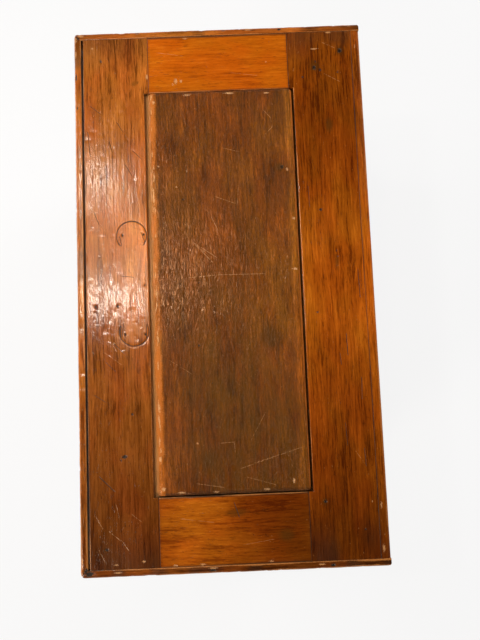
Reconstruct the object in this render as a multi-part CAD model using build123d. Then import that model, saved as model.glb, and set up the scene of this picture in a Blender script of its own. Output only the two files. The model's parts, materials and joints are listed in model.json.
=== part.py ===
from build123d import *
import math
import os

# A pine blanket chest: a dovetailed case on bracket feet, closed by a lid framed round a raised panel.
# X runs along the chest, the front faces -Y and Z is up. The origin is on the floor, under the lid's centre.
# All sizes are in millimetres. The lid's sizes across its face were measured from straight above.

# Lid frame: two long stiles, two short rails between them
lid_length = 1000.0
lid_depth = 543.0
lid_thickness = 22.0
front_stile_width = 122.5
back_stile_width = 138.5
left_rail_width = 110.0
right_rail_width = 119.0
tenon_length = 45.0
tenon_haunch = 15.0
mortise_end_room = 1.5

# The stiles' upper lip is cut back beside the panel, which leaves an open valley there
valley_width = 8.5
back_edge_round_width = 15.0
back_edge_round_drop = 4.0

# Raised panel, loose in a groove all round, and shrunk towards the back
groove_height = 7.0
groove_floor = 7.0
groove_depth = 10.0
tongue_play = 0.3
tongue_room = 2.5
panel_proud = 3.0
panel_front_gap = 6.0
panel_back_gap = 4.0
panel_left_gap = 1.5
panel_right_gap = 3.0
panel_round_width = 12.0
panel_round_drop = 5.5
panel_end_round = 1.5

# Lip moulding on the lid's front and ends, mitred at the front corners. The frame has shrunk away from it.
lid_moulding_thickness = 14.0
lid_moulding_lip = 10.0
lid_moulding_top_round = 6.0
lid_moulding_cove = 5.0
shrinkage_gap = 3.5
mitre_gap = 1.0
front_corner_round = 13.0
back_corner_round = 7.0
case_end_clearance = 2.0

# Case
case_height = 469.0
board_thickness = 22.0
back_overhang = 13.5
tail_count = 6
pin_narrow_width = 10.0
tail_slope = 6.0
corner_pin_margin = 8.0
bottom_thickness = 16.0
plank_count = 3
plank_joint = 0.4

# Base moulding and bracket feet
base_moulding_height = 40.0
base_moulding_thickness = 15.5
base_moulding_flat = 20.0
base_moulding_top = 3.5
foot_height = 95.0
foot_length = 150.0
foot_toe = 58.0
foot_thickness = 18.0
foot_inset = 1.5
foot_shoulder = 16.0
foot_scroll_height = 42.0
foot_scroll_width = 24.0
foot_scroll_step = 5.0
block_side = 38.0
block_lift = 6.0

# Till, an open tray across the left end
till_width = 150.0
till_height = 130.0
till_drop = 14.0
till_front_thickness = 13.0
till_bottom_thickness = 10.0
till_bottom_rise = 8.0
till_housing = 6.0

# Butt hinges let into the back board's top edge and the lid's underside
hinge_length = 76.0
hinge_reach = 21.0
hinge_leaf_thickness = 2.4
hinge_barrel_radius = 3.8
hinge_pin_radius = 1.6
hinge_pin_clearance = 0.05
hinge_pin_outset = 2.5
hinge_knuckles = 3
hinge_knuckle_gap = 0.3
hinge_swing_clearance = 0.5
hinge_inset_from_end = 186.0
hinge_screw_count = 3

# Lock let into the front board from inside, and its strike on the lid
lock_width = 92.0
lock_box_height = 58.0
lock_box_depth = 13.0
lock_plate_thickness = 2.5
lock_plate_margin = 11.0
lock_wall = 2.0
lock_drop = 0.3
bolt_length = 46.0
bolt_height = 9.0
bolt_thickness = 5.0
bolt_travel = 14.0
bolt_play = 0.25
bolt_talon_width = 9.0
bolt_talon_depth = 3.0
strike_length = 70.0
strike_width = 18.0
strike_thickness = 2.5
eye_width = 8.0
eye_depth = 10.0
eye_wall = 2.2
eye_room = 0.9
key_chamber_radius = 15.0
key_post_radius = 2.0
keyhole_radius = 5.0
keyhole_slot_width = 6.0
keyhole_slot_length = 15.0

# Fasteners
screw_head_radius = 3.7
screw_head_height = 2.4
screw_shank_radius = 1.8
screw_sides = 10
hinge_screw_length = 18.0
lid_screw_cover = 5.0
lock_screw_length = 12.0
nail_width = 2.8
nail_head_width = 5.0
nail_head_height = 2.6
nail_head_thickness = 1.5
nail_taper = 0.8
moulding_nail_length = 36.0
bottom_nail_length = 42.0

# Levels above the floor
bottom_z = foot_height
case_z = bottom_z + bottom_thickness
case_top = case_z + case_height
lid_top = case_top + lid_thickness
groove_z = (case_top + groove_floor, case_top + groove_floor + groove_height)

# Lines across the chest, front to back
lid_front = -lid_depth / 2
lid_back = lid_depth / 2
frame_front = lid_front + lid_moulding_thickness + shrinkage_gap
front_shoulder = frame_front + front_stile_width
back_shoulder = lid_back - back_stile_width
front_valley = front_shoulder - valley_width
back_valley = back_shoulder + valley_width
case_front = frame_front
case_back = lid_back - back_overhang
inside_front = case_front + board_thickness
inside_back = case_back - board_thickness
panel_front = front_valley + panel_front_gap
panel_back = back_valley - panel_back_gap

# Lines along the chest, left to right
lid_half = lid_length / 2
frame_half = lid_half - lid_moulding_thickness
left_rail_edge = -frame_half + left_rail_width
right_rail_edge = frame_half - right_rail_width
case_half = frame_half - case_end_clearance
inside_half = case_half - board_thickness
panel_left = left_rail_edge + panel_left_gap
panel_right = right_rail_edge - panel_right_gap

# Hinge axis, and where each hinge sits
hinge_axis_y = case_back + hinge_pin_outset
hinge_axis_z = case_top
hinge_x = case_half - hinge_inset_from_end
hinge_leaf_edge = hinge_axis_y - hinge_reach
leaf_screw_y = (hinge_leaf_edge + hinge_axis_y - hinge_barrel_radius) / 2

# Lock levels and faces, from the plate's inner face outwards
lock_top = case_top - lock_drop
lock_bottom = lock_top - lock_box_height
lock_plate_y = (inside_front - lock_plate_thickness, inside_front)
lock_box_front = lock_plate_y[0] - lock_box_depth
lock_mid_y = (lock_box_front + lock_plate_y[0]) / 2
eye_drop = bolt_height + 2 * eye_wall + 2 * bolt_play
bolt_top = case_top - eye_wall - bolt_play
bolt_bottom = bolt_top - bolt_height
eye_x = (eye_width / 2, eye_width * 3 / 2)
bolt_tip = eye_x[0] - 4 * eye_room
key_z = bolt_bottom + bolt_talon_depth - key_chamber_radius

till_top = case_top - till_drop
till_front_x = (-inside_half + till_width, -inside_half + till_width + till_front_thickness)
till_floor = till_top - till_height + till_bottom_rise
till_floor_z = (till_floor, till_floor + till_bottom_thickness)
till_y = (inside_front - till_housing, inside_back + till_housing)


def slab(x, y, z):
    """A square-edged block that runs between two values along each axis."""
    centre = Pos((x[0] + x[1]) / 2, (y[0] + y[1]) / 2, (z[0] + z[1]) / 2)
    return centre * Box(x[1] - x[0], y[1] - y[0], z[1] - z[0])


def along_x(face_edges, x):
    """A profile drawn as (y, z) edges, extruded between two values of x."""
    profile = Plane.YZ * make_face(face_edges)
    return Pos(x[0], 0, 0) * extrude(profile, amount=x[1] - x[0], dir=(1, 0, 0))


def along_y(face_edges, y):
    """A profile drawn as (x, z) edges, extruded between two values of y."""
    profile = Plane.XZ * make_face(face_edges)
    return Pos(0, y[0], 0) * extrude(profile, amount=y[1] - y[0], dir=(0, 1, 0))


def plan_prism(points, z):
    """A polygon seen from above, extruded between two levels."""
    outline = make_face(Polyline(*points, close=True))
    return Pos(0, 0, z[0]) * extrude(outline, amount=z[1] - z[0], dir=(0, 0, 1))


def rod_x(radius, x, y, z):
    """A round rod along X between two values of x."""
    return Pos((x[0] + x[1]) / 2, y, z) * Rot(0, 90, 0) * Cylinder(radius, x[1] - x[0])


def rod_y(radius, y, x, z):
    """A round rod along Y between two values of y."""
    return Pos(x, (y[0] + y[1]) / 2, z) * Rot(90, 0, 0) * Cylinder(radius, y[1] - y[0])


def round_over(width, drop):
    """The radius of an arc that leaves a flat top tangentially and falls by drop within width."""
    return (width**2 + drop**2) / (2 * drop)


def evenly(count, low, high):
    """Count places from low to high, with both ends used."""
    return [low + (high - low) * i / (count - 1) for i in range(count)]


def wood_screw(length):
    """A blunt countersunk screw, end down, its head's face at the origin. Being small, it has few sides."""
    rim = RegularPolygon(screw_head_radius, screw_sides)
    core = RegularPolygon(screw_shank_radius, screw_sides)
    head = loft([rim, Pos(0, 0, -screw_head_height) * core])
    shank = Pos(0, 0, -length) * extrude(core, amount=length - screw_head_height, dir=(0, 0, 1))
    return head + shank


def cut_nail(length):
    """A square cut nail, point down, with its flush head's face at the origin."""
    head = Pos(0, 0, -nail_head_thickness / 2) * Box(nail_head_width, nail_head_height, nail_head_thickness)
    tip = nail_width - nail_taper
    share = nail_head_height / nail_head_width
    top = Pos(0, 0, -nail_head_thickness) * Rectangle(nail_width, nail_width * share)
    point = Pos(0, 0, -length) * Rectangle(tip, tip * share)
    return head + loft([top, point])


def place(item, points, turn=(0, 0, 0)):
    """Copies of one fastener at each point, all turned alike."""
    return [Pos(*point) * Rot(*turn) * item for point in points]


def cut_all(body, tools):
    """The body with every tool cut out of it."""
    for tool in tools:
        body = body - tool
    return body


# Screws and nails come first, because the boards and plates are bored with the same shapes


def hinge_centres():
    return [("left", -hinge_x), ("right", hinge_x)]


def leaf_screw_points(x):
    spread = hinge_length / 2 - 2.8 * screw_head_radius
    return [(x + dx, leaf_screw_y, hinge_axis_z) for dx in evenly(hinge_screw_count, -spread, spread)]


upward = (180, 0, 0)
forward = (-90, 0, 0)
lid_screw = wood_screw(lid_thickness - lid_screw_cover)
every_leaf_screw_point = [p for _, x in hinge_centres() for p in leaf_screw_points(x)]
case_screws = place(wood_screw(hinge_screw_length), every_leaf_screw_point)
lid_screws = place(lid_screw, every_leaf_screw_point, upward)

strike_middle_x = (eye_x[0] + eye_x[1]) / 2
strike_y = (lock_mid_y - strike_width / 2, lock_mid_y + strike_width / 2)
strike_screw_reach = strike_length / 2 - 2.2 * screw_head_radius
strike_screw_x = [strike_middle_x - strike_screw_reach, strike_middle_x + strike_screw_reach]
strike_screw_points = [(x, lock_mid_y, case_top) for x in strike_screw_x]
strike_screws = place(lid_screw, strike_screw_points, upward)

lock_screw_x = lock_width / 2 + lock_plate_margin / 2
lock_screw_low = lock_bottom + screw_head_radius
lock_screw_high = lock_top - 4 * screw_head_radius
lock_screw_points = [
    (side * lock_screw_x, inside_front, z) for side in (-1, 1) for z in (lock_screw_low, lock_screw_high)
]
lock_screws = place(wood_screw(lock_screw_length), lock_screw_points, forward)

moulding_nail = cut_nail(moulding_nail_length)
nail_end_room = 3 * lid_moulding_thickness
lid_nail_z = case_top + lid_thickness / 2
front_nails = place(
    moulding_nail,
    [(x, lid_front, lid_nail_z) for x in evenly(7, -lid_half + nail_end_room, lid_half - nail_end_room)],
    (90, 0, 0),
)
end_nail_y = evenly(5, lid_front + nail_end_room, lid_back - nail_end_room)
left_nails = place(moulding_nail, [(-lid_half, y, lid_nail_z) for y in end_nail_y], (0, -90, 0))
right_nails = place(moulding_nail, [(lid_half, y, lid_nail_z) for y in end_nail_y], (0, 90, 0))
lid_nails = front_nails + left_nails + right_nails

base_half = case_half + base_moulding_thickness
base_front = case_front - base_moulding_thickness
base_nail_z = case_z + nail_head_width
base_nail_room = 2 * nail_head_width
base_nail_x = evenly(5, base_nail_room - inside_half, inside_half - base_nail_room)
base_nail_y = evenly(4, inside_front + base_nail_room, inside_back - base_nail_room)
base_front_nails = place(moulding_nail, [(x, base_front, base_nail_z) for x in base_nail_x], (90, 0, 0))
base_left_nails = place(moulding_nail, [(-base_half, y, base_nail_z) for y in base_nail_y], (0, -90, 0))
base_right_nails = place(moulding_nail, [(base_half, y, base_nail_z) for y in base_nail_y], (0, 90, 0))
base_nails = base_front_nails + base_left_nails + base_right_nails

# Base moulding nails and bottom nails would meet in the boards' lower edges, so the two rows interleave
plank_width = (case_back - case_front) / plank_count
plank_lines = [(case_front + i * plank_width, case_front + (i + 1) * plank_width) for i in range(plank_count)]
bottom_nail = cut_nail(bottom_nail_length)
board_middle = board_thickness / 2
bottom_end_y = [low + plank_width * share for low, _ in plank_lines for share in (0.25, 0.6)]
bottom_side_x = [x + inside_half / 8 for x in evenly(5, -inside_half * 0.9, inside_half * 0.7)]
bottom_rows_x = (board_middle - case_half, case_half - board_middle)
bottom_rows_y = (case_front + board_middle, case_back - board_middle)
bottom_nail_points = [(x, y, bottom_z) for x in bottom_rows_x for y in bottom_end_y]
bottom_nail_points += [(x, y, bottom_z) for y in bottom_rows_y for x in bottom_side_x]
bottom_nails = place(bottom_nail, bottom_nail_points, (180, 0, 90))


# Lid


def lid_stile(edge_y, shoulder_y, valley_y):
    """A long frame member, from its outer edge to its shoulder, with its groove, mortises and open valley."""
    inward = math.copysign(1, shoulder_y - edge_y)
    body = slab((-frame_half, frame_half), sorted((edge_y, shoulder_y)), (case_top, lid_top))
    valley = slab((left_rail_edge, right_rail_edge), sorted((valley_y, shoulder_y)), (groove_z[1], lid_top))
    groove_bottom = valley_y - inward * groove_depth
    groove_x = (left_rail_edge - groove_depth, right_rail_edge + groove_depth)
    groove = slab(groove_x, sorted((groove_bottom, shoulder_y)), groove_z)
    mortise_bottom = shoulder_y - inward * (tenon_length + mortise_end_room)
    mortises = [
        slab((-frame_half + tenon_haunch, groove_x[0]), sorted((mortise_bottom, shoulder_y)), groove_z),
        slab((groove_x[1], frame_half - tenon_haunch), sorted((mortise_bottom, shoulder_y)), groove_z),
    ]
    return cut_all(body, [valley, groove, *mortises])


def lid_front_stile():
    recess = slab(
        (strike_middle_x - strike_length / 2, strike_middle_x + strike_length / 2),
        strike_y,
        (case_top, case_top + strike_thickness),
    )
    stile = lid_stile(frame_front, front_shoulder, front_valley) - recess
    return cut_all(stile, front_nails + left_nails + right_nails + strike_screws)


def hinge_gain(x):
    """The space one hinge takes in the lid's underside: a bed for its leaf and a trough for its barrel."""
    span = (x - hinge_length / 2, x + hinge_length / 2)
    bed = slab(span, (hinge_leaf_edge, hinge_axis_y), (case_top, case_top + hinge_leaf_thickness))
    wide = (span[0] - hinge_swing_clearance, span[1] + hinge_swing_clearance)
    return bed + rod_x(hinge_barrel_radius + hinge_swing_clearance, wide, hinge_axis_y, hinge_axis_z)


def lid_back_stile():
    """The rear stile. Its back edge is worn round on top, and overhangs the case."""
    stile = lid_stile(lid_back, back_shoulder, back_valley)
    arc_start = (lid_back - back_edge_round_width, lid_top)
    arc_end = (lid_back, lid_top - back_edge_round_drop)
    radius = round_over(back_edge_round_width, back_edge_round_drop)
    waste = [RadiusArc(arc_start, arc_end, radius), Polyline(arc_end, (lid_back, lid_top), arc_start)]
    stile = stile - along_x(waste, (-frame_half, frame_half))
    gains = [hinge_gain(x) for _, x in hinge_centres()]
    return cut_all(stile, gains + left_nails + right_nails + lid_screws)


def lid_rail(outer_x, edge_x):
    """A short frame member between the stiles, with a tenon at each end and a groove along its inner edge."""
    inward = math.copysign(1, edge_x - outer_x)
    body = slab(sorted((outer_x, edge_x)), (front_shoulder, back_shoulder), (case_top, lid_top))
    groove_bottom = edge_x - inward * groove_depth
    groove = slab(sorted((groove_bottom, edge_x)), (front_shoulder, back_shoulder), groove_z)
    tenon_x = sorted((outer_x + inward * tenon_haunch, groove_bottom))
    tenon = slab(tenon_x, (front_shoulder - tenon_length, back_shoulder + tenon_length), groove_z)
    return cut_all(body - groove + tenon, left_nails + right_nails)


def lid_panel():
    """The raised panel: a thin tongue all round, and a proud field that rounds off along its long sides."""
    tongue_top = groove_z[1] - tongue_play
    tongue_y = (front_valley - groove_depth + tongue_room, back_valley + groove_depth - tongue_room)
    tongue_x = (left_rail_edge - groove_depth + tongue_room, right_rail_edge + groove_depth - tongue_room)
    tongue = slab(tongue_x, tongue_y, (groove_z[0], tongue_top))
    field_top = lid_top + panel_proud
    brow = field_top - panel_round_drop
    radius = round_over(panel_round_width, panel_round_drop)
    front_start = (panel_front + panel_round_width, field_top)
    back_start = (panel_back - panel_round_width, field_top)
    outline = [
        RadiusArc((panel_front, brow), front_start, radius),
        Line(front_start, back_start),
        RadiusArc(back_start, (panel_back, brow), radius),
        Line((panel_back, brow), (panel_back, groove_z[0])),
        Line((panel_back, groove_z[0]), (panel_front, groove_z[0])),
        Line((panel_front, groove_z[0]), (panel_front, brow)),
    ]
    field = along_x(outline, (panel_left, panel_right))
    end_edges = field.edges().filter_by(Axis.Y).group_by(Axis.Z)[-1]
    return fillet(end_edges, panel_end_round) + tongue


def lid_moulding_profile(face, inward):
    """The lip moulding's section: a rounded top edge, a flat face and a cove. Face is its outer line."""
    inner = face + inward * lid_moulding_thickness
    lip = case_top - lid_moulding_lip
    top_start = (face + inward * lid_moulding_top_round, lid_top)
    top_end = (face, lid_top - lid_moulding_top_round)
    cove_start = (face, lip + lid_moulding_cove)
    cove_end = (face + inward * lid_moulding_cove, lip)
    turn = inward * lid_moulding_top_round
    return [
        RadiusArc(top_end, top_start, turn),
        Polyline(top_start, (inner, lid_top), (inner, lip), cove_end),
        RadiusArc(cove_start, cove_end, inward * lid_moulding_cove),
        Line(cove_start, top_end),
    ]


def lid_outline():
    """The lid's worn outline from above, with rounded corners, as a block that trims the mouldings."""
    z = (case_top - lid_moulding_lip, lid_top)
    block = slab((-lid_half, lid_half), (lid_front, lid_back), z)
    corners = block.edges().filter_by(Axis.Z).group_by(Axis.Y)
    block = fillet(corners[-1], back_corner_round)
    return fillet(block.edges().filter_by(Axis.Z).group_by(Axis.Y)[0], front_corner_round)


def mitre_zone_front(half, face, depth, z, gap=0.0):
    """The trapezium that a front strip keeps after both its ends are mitred."""
    long_side = half - gap
    short_side = half - gap - depth
    points = [(-long_side, face), (long_side, face), (short_side, face + depth), (-short_side, face + depth)]
    return plan_prism(points, z)


def mitre_zone_end(half, face, depth, back, z, side):
    """What an end strip keeps after its front end is mitred."""
    outer = side * half
    inner = side * (half - depth)
    return plan_prism([(outer, face), (outer, back), (inner, back), (inner, face + depth)], z)


def lid_front_moulding():
    z = (case_top - lid_moulding_lip, lid_top)
    strip = along_x(lid_moulding_profile(lid_front, 1), (-lid_half, lid_half))
    zone = mitre_zone_front(lid_half, lid_front, lid_moulding_thickness, z, mitre_gap)
    return cut_all(strip & zone & lid_outline(), front_nails)


def lid_end_moulding(side, nails):
    z = (case_top - lid_moulding_lip, lid_top)
    strip = along_y(lid_moulding_profile(side * lid_half, -side), (lid_front, lid_back))
    zone = mitre_zone_end(lid_half, lid_front, lid_moulding_thickness, lid_back, z, side)
    return cut_all(strip & zone & lid_outline(), nails)


# Case


def tails(side, y):
    """The dovetails at one end of the front or back board, flared towards the end, as one list of prisms."""
    flare = board_thickness / tail_slope
    pitch = (case_height - 2 * corner_pin_margin) / tail_count
    root_x = side * inside_half
    tip_x = side * case_half
    half_tip = (pitch - pin_narrow_width) / 2
    half_root = half_tip - flare
    prisms = []
    for i in range(tail_count):
        middle = case_z + corner_pin_margin + (i + 0.5) * pitch
        outline = Polyline(
            (root_x, middle - half_root),
            (tip_x, middle - half_tip),
            (tip_x, middle + half_tip),
            (root_x, middle + half_root),
            close=True,
        )
        prisms.append(along_y(outline, y))
    return prisms


def tail_board(y):
    """A long board of the case, dovetailed at both ends."""
    board = slab((-inside_half, inside_half), y, (case_z, case_top))
    for prism in tails(-1, y) + tails(1, y):
        board = board + prism
    return board


def keyhole(y):
    """A plain keyhole: a round top for the key's stem and a slot for its bit."""
    half_slot = keyhole_slot_width / 2
    slot = slab((-half_slot, half_slot), y, (key_z - keyhole_slot_length, key_z))
    return rod_y(keyhole_radius, y, 0, key_z) + slot


def lock_envelope():
    """The lock's outside: a plate on the board's inner face, a box behind it and a plate on the edge."""
    reach = lock_width / 2 + lock_plate_margin
    plate = slab((-reach, reach), lock_plate_y, (lock_bottom - lock_plate_margin / 2, lock_top))
    box = slab((-lock_width / 2, lock_width / 2), (lock_box_front, lock_plate_y[0]), (lock_bottom, lock_top))
    edge_z = (lock_top - lock_plate_thickness, lock_top)
    edge_plate = slab((-reach, reach), (lock_box_front, inside_front), edge_z)
    return plate + box + edge_plate


def lock_seat():
    """The mortise that the lock drops into, open at the board's top edge."""
    reach = lock_width / 2 + lock_plate_margin
    open_top = slab((-reach, reach), (lock_box_front, inside_front), (lock_top, case_top))
    return lock_envelope() + open_top


def front_board():
    y = (case_front, inside_front)
    board = tail_board(y) - lock_seat() - keyhole((case_front, lock_box_front))
    return cut_all(board, [till_front(), till_bottom(), *base_front_nails, *bottom_nails, *lock_screws])


def back_board():
    """The back board, with beds along its top edge for the hinges' lower leaves and barrels."""
    board = tail_board((inside_back, case_back))
    for _, x in hinge_centres():
        span = (x - hinge_length / 2, x + hinge_length / 2)
        bed = slab(span, (hinge_leaf_edge, case_back), (case_top - hinge_leaf_thickness, case_top))
        wide = (span[0] - hinge_swing_clearance, span[1] + hinge_swing_clearance)
        trough = rod_x(hinge_barrel_radius + hinge_swing_clearance, wide, hinge_axis_y, hinge_axis_z)
        board = board - bed - trough
    return cut_all(board, [till_front(), till_bottom(), *bottom_nails, *case_screws])


def end_board(side, nails):
    """A short board of the case, cut away for the long boards' tails, which leaves its pins."""
    board = slab(sorted((side * inside_half, side * case_half)), (case_front, case_back), (case_z, case_top))
    board = cut_all(board, tails(side, (case_front, inside_front)) + tails(side, (inside_back, case_back)))
    return cut_all(board, [till_bottom(), *nails, *bottom_nails])


def bottom_plank(low, high):
    """One plank of the bottom, nailed up under the case. The planks meet with a narrow joint."""
    near = low + (plank_joint if low > case_front else 0)
    plank = slab((-case_half, case_half), (near, high), (bottom_z, case_z))
    return cut_all(plank, bottom_nails)


def base_moulding_profile(wall, outward):
    """The base moulding's section: a flat face, then a rounded nose and a hollow up to a thin top edge."""
    face = wall + outward * base_moulding_thickness
    nose_z = bottom_z + base_moulding_flat
    top_z = bottom_z + base_moulding_height
    rise = (top_z - nose_z) / 2
    run = (base_moulding_thickness - base_moulding_top) / 2
    middle = (face - outward * run, nose_z + rise)
    top = (wall + outward * base_moulding_top, top_z)
    bulge = outward * math.hypot(rise, run)
    return [
        RadiusArc((face, nose_z), middle, -bulge),
        RadiusArc(middle, top, bulge),
        Polyline(top, (wall, top_z), (wall, bottom_z), (face, bottom_z), (face, nose_z)),
    ]


def base_moulding_front():
    z = (bottom_z, bottom_z + base_moulding_height)
    strip = along_x(base_moulding_profile(case_front, -1), (-base_half, base_half))
    strip = strip & mitre_zone_front(base_half, base_front, base_moulding_thickness, z)
    return cut_all(strip, base_front_nails)


def base_moulding_end(side, nails):
    z = (bottom_z, bottom_z + base_moulding_height)
    strip = along_y(base_moulding_profile(side * case_half, side), (base_front, case_back))
    strip = strip & mitre_zone_end(base_half, base_front, base_moulding_thickness, case_back, z, side)
    return cut_all(strip, nails)


def foot_outline(corner, inward):
    """A bracket foot's face: straight at the corner, scrolled on the inner side. Corner is its outer line."""
    shoulder_z = foot_height - foot_shoulder
    toe = (corner + inward * foot_toe, 0)
    scroll_top = (corner + inward * (foot_toe + foot_scroll_width), foot_scroll_height)
    step = (scroll_top[0] + inward * foot_scroll_step, foot_scroll_height)
    heel = (corner + inward * foot_length, shoulder_z)
    hollow = 1.05 * math.dist(toe, scroll_top)
    sweep = 0.8 * math.dist(step, heel)
    return [
        RadiusArc(toe, scroll_top, inward * hollow),
        Line(scroll_top, step),
        RadiusArc(step, heel, inward * sweep),
        Polyline(heel, (heel[0], foot_height), (corner, foot_height), (corner, 0), toe),
    ]


foot_face = base_front + foot_inset
foot_half = base_half - foot_inset


def foot_front_face(side):
    """The front-facing half of a front foot, mitred to the side-facing half."""
    bracket = along_y(foot_outline(side * foot_half, -side), (foot_face, foot_face + foot_thickness))
    long_side = foot_length + foot_thickness
    mitre = plan_prism(
        [
            (side * foot_half, foot_face),
            (side * (foot_half - long_side), foot_face),
            (side * (foot_half - long_side), foot_face + foot_thickness),
            (side * (foot_half - foot_thickness), foot_face + foot_thickness),
        ],
        (0, foot_height),
    )
    return bracket & mitre


def foot_side(side, front):
    """A side-facing bracket, mitred at the front corner, or square and flush with the case at the back."""
    corner = foot_face if front else case_back
    inward = 1 if front else -1
    faces = sorted((side * foot_half, side * (foot_half - foot_thickness)))
    bracket = along_x(foot_outline(corner, inward), faces)
    if not front:
        return bracket
    far = foot_face + foot_length + foot_thickness
    mitre = plan_prism(
        [
            (side * foot_half, foot_face),
            (side * foot_half, far),
            (side * (foot_half - foot_thickness), far),
            (side * (foot_half - foot_thickness), foot_face + foot_thickness),
        ],
        (0, foot_height),
    )
    return bracket & mitre


def foot_brace(side):
    """The plain board across a back foot, cut back on a slope towards the chest's middle."""
    outer = side * (foot_half - foot_thickness)
    inner = outer - side * (foot_length - foot_thickness)
    toe = outer - side * foot_toe
    outline = Polyline(
        (outer, 0),
        (toe, 0),
        (inner, foot_height - foot_shoulder),
        (inner, foot_height),
        (outer, foot_height),
        close=True,
    )
    return along_y(outline, (case_back - foot_thickness, case_back))


def foot_block(side, front):
    """The square glue block in the angle behind a foot, clear of the floor."""
    outer = side * (foot_half - foot_thickness)
    near = foot_face + foot_thickness if front else case_back - foot_thickness
    far = near + (block_side if front else -block_side)
    return slab(sorted((outer, outer - side * block_side)), sorted((near, far)), (block_lift, foot_height))


# Till


def till_front():
    """The till's front wall, housed in the front and back boards."""
    return slab(till_front_x, till_y, (till_top - till_height, till_top))


def till_bottom():
    """The till's floor, housed on all four sides."""
    x = (-inside_half - till_housing, till_front_x[0] + till_housing)
    return slab(x, till_y, till_floor_z)


# Hinges


def knuckle_spans(x, upper):
    """The stretches of barrel that belong to one leaf. The upper leaf has the even-numbered ones."""
    pitch = hinge_length / hinge_knuckles
    start = x - hinge_length / 2
    first = 1 if upper else 0
    spans = []
    for i in range(first, hinge_knuckles, 2):
        low = start + i * pitch + (hinge_knuckle_gap / 2 if i > 0 else 0)
        high = start + (i + 1) * pitch - (hinge_knuckle_gap / 2 if i < hinge_knuckles - 1 else 0)
        spans.append((low, high))
    return spans


def hinge_leaf(x, upper):
    """One cast leaf with its knuckles, cleared for the other leaf's, bored for the pin and countersunk."""
    z = (case_top, case_top + hinge_leaf_thickness) if upper else (case_top - hinge_leaf_thickness, case_top)
    through = (x - hinge_length, x + hinge_length)
    plate = slab((x - hinge_length / 2, x + hinge_length / 2), (hinge_leaf_edge, hinge_axis_y), z)
    plate = plate - rod_x(hinge_barrel_radius + hinge_knuckle_gap, through, hinge_axis_y, hinge_axis_z)
    for span in knuckle_spans(x, upper):
        neck = slab(span, (hinge_axis_y - hinge_barrel_radius - hinge_knuckle_gap * 2, hinge_axis_y), z)
        plate = plate + neck + rod_x(hinge_barrel_radius, span, hinge_axis_y, hinge_axis_z)
    bore = rod_x(hinge_pin_radius + hinge_pin_clearance, through, hinge_axis_y, hinge_axis_z)
    return cut_all(plate - bore, lid_screws if upper else case_screws)


def hinge_pin(x):
    return rod_x(hinge_pin_radius, (x - hinge_length / 2, x + hinge_length / 2), hinge_axis_y, hinge_axis_z)


# Lock


def bolt_body():
    """The lock's bolt, drawn back. The key's bit works in the talon cut in its lower edge."""
    x = (bolt_tip - bolt_length, bolt_tip)
    y = (lock_mid_y - bolt_thickness / 2, lock_mid_y + bolt_thickness / 2)
    bar = slab(x, y, (bolt_bottom, bolt_top))
    talon_x = (-bolt_talon_width / 2 - bolt_travel / 2, bolt_talon_width / 2 - bolt_travel / 2)
    return bar - slab(talon_x, y, (bolt_bottom, bolt_bottom + bolt_talon_depth))


def lock_case():
    """The lock's case, with a channel for the bolt, a slot for the strike's eye and a chamber for the key."""
    channel_x = (bolt_tip - bolt_length - bolt_play, bolt_tip + bolt_travel + bolt_play)
    half_bolt = bolt_thickness / 2 + bolt_play
    channel_y = (lock_mid_y - half_bolt, lock_mid_y + half_bolt)
    channel = slab(channel_x, channel_y, (bolt_bottom - bolt_play, bolt_top + bolt_play))
    half_eye = eye_depth / 2 + eye_room
    eye_slot = slab(
        (eye_x[0] - eye_room, eye_x[1] + eye_room),
        (lock_mid_y - half_eye, lock_mid_y + half_eye),
        (case_top - eye_drop - eye_room, lock_top),
    )
    skin_y = (lock_box_front, lock_box_front + lock_wall)
    chamber_y = (skin_y[1], lock_plate_y[0] - lock_wall)
    chamber = rod_y(key_chamber_radius, chamber_y, 0, key_z)
    post = rod_y(key_post_radius, (skin_y[0], chamber_y[1]), 0, key_z)
    body = cut_all(lock_envelope(), [channel, eye_slot, chamber, keyhole(skin_y)])
    return cut_all(body + post, lock_screws)


def lock_strike():
    """The plate under the lid, and the eye that drops into the lock for the bolt to pass through."""
    x = (strike_middle_x - strike_length / 2, strike_middle_x + strike_length / 2)
    plate = slab(x, strike_y, (case_top, case_top + strike_thickness))
    eye_y = (lock_mid_y - eye_depth / 2, lock_mid_y + eye_depth / 2)
    eye = slab(eye_x, eye_y, (case_top - eye_drop, case_top))
    window_z = (case_top - eye_drop + eye_wall, case_top - eye_wall)
    window = slab(eye_x, (eye_y[0] + eye_wall, eye_y[1] - eye_wall), window_z)
    return cut_all(plate + eye - window, strike_screws)


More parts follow.
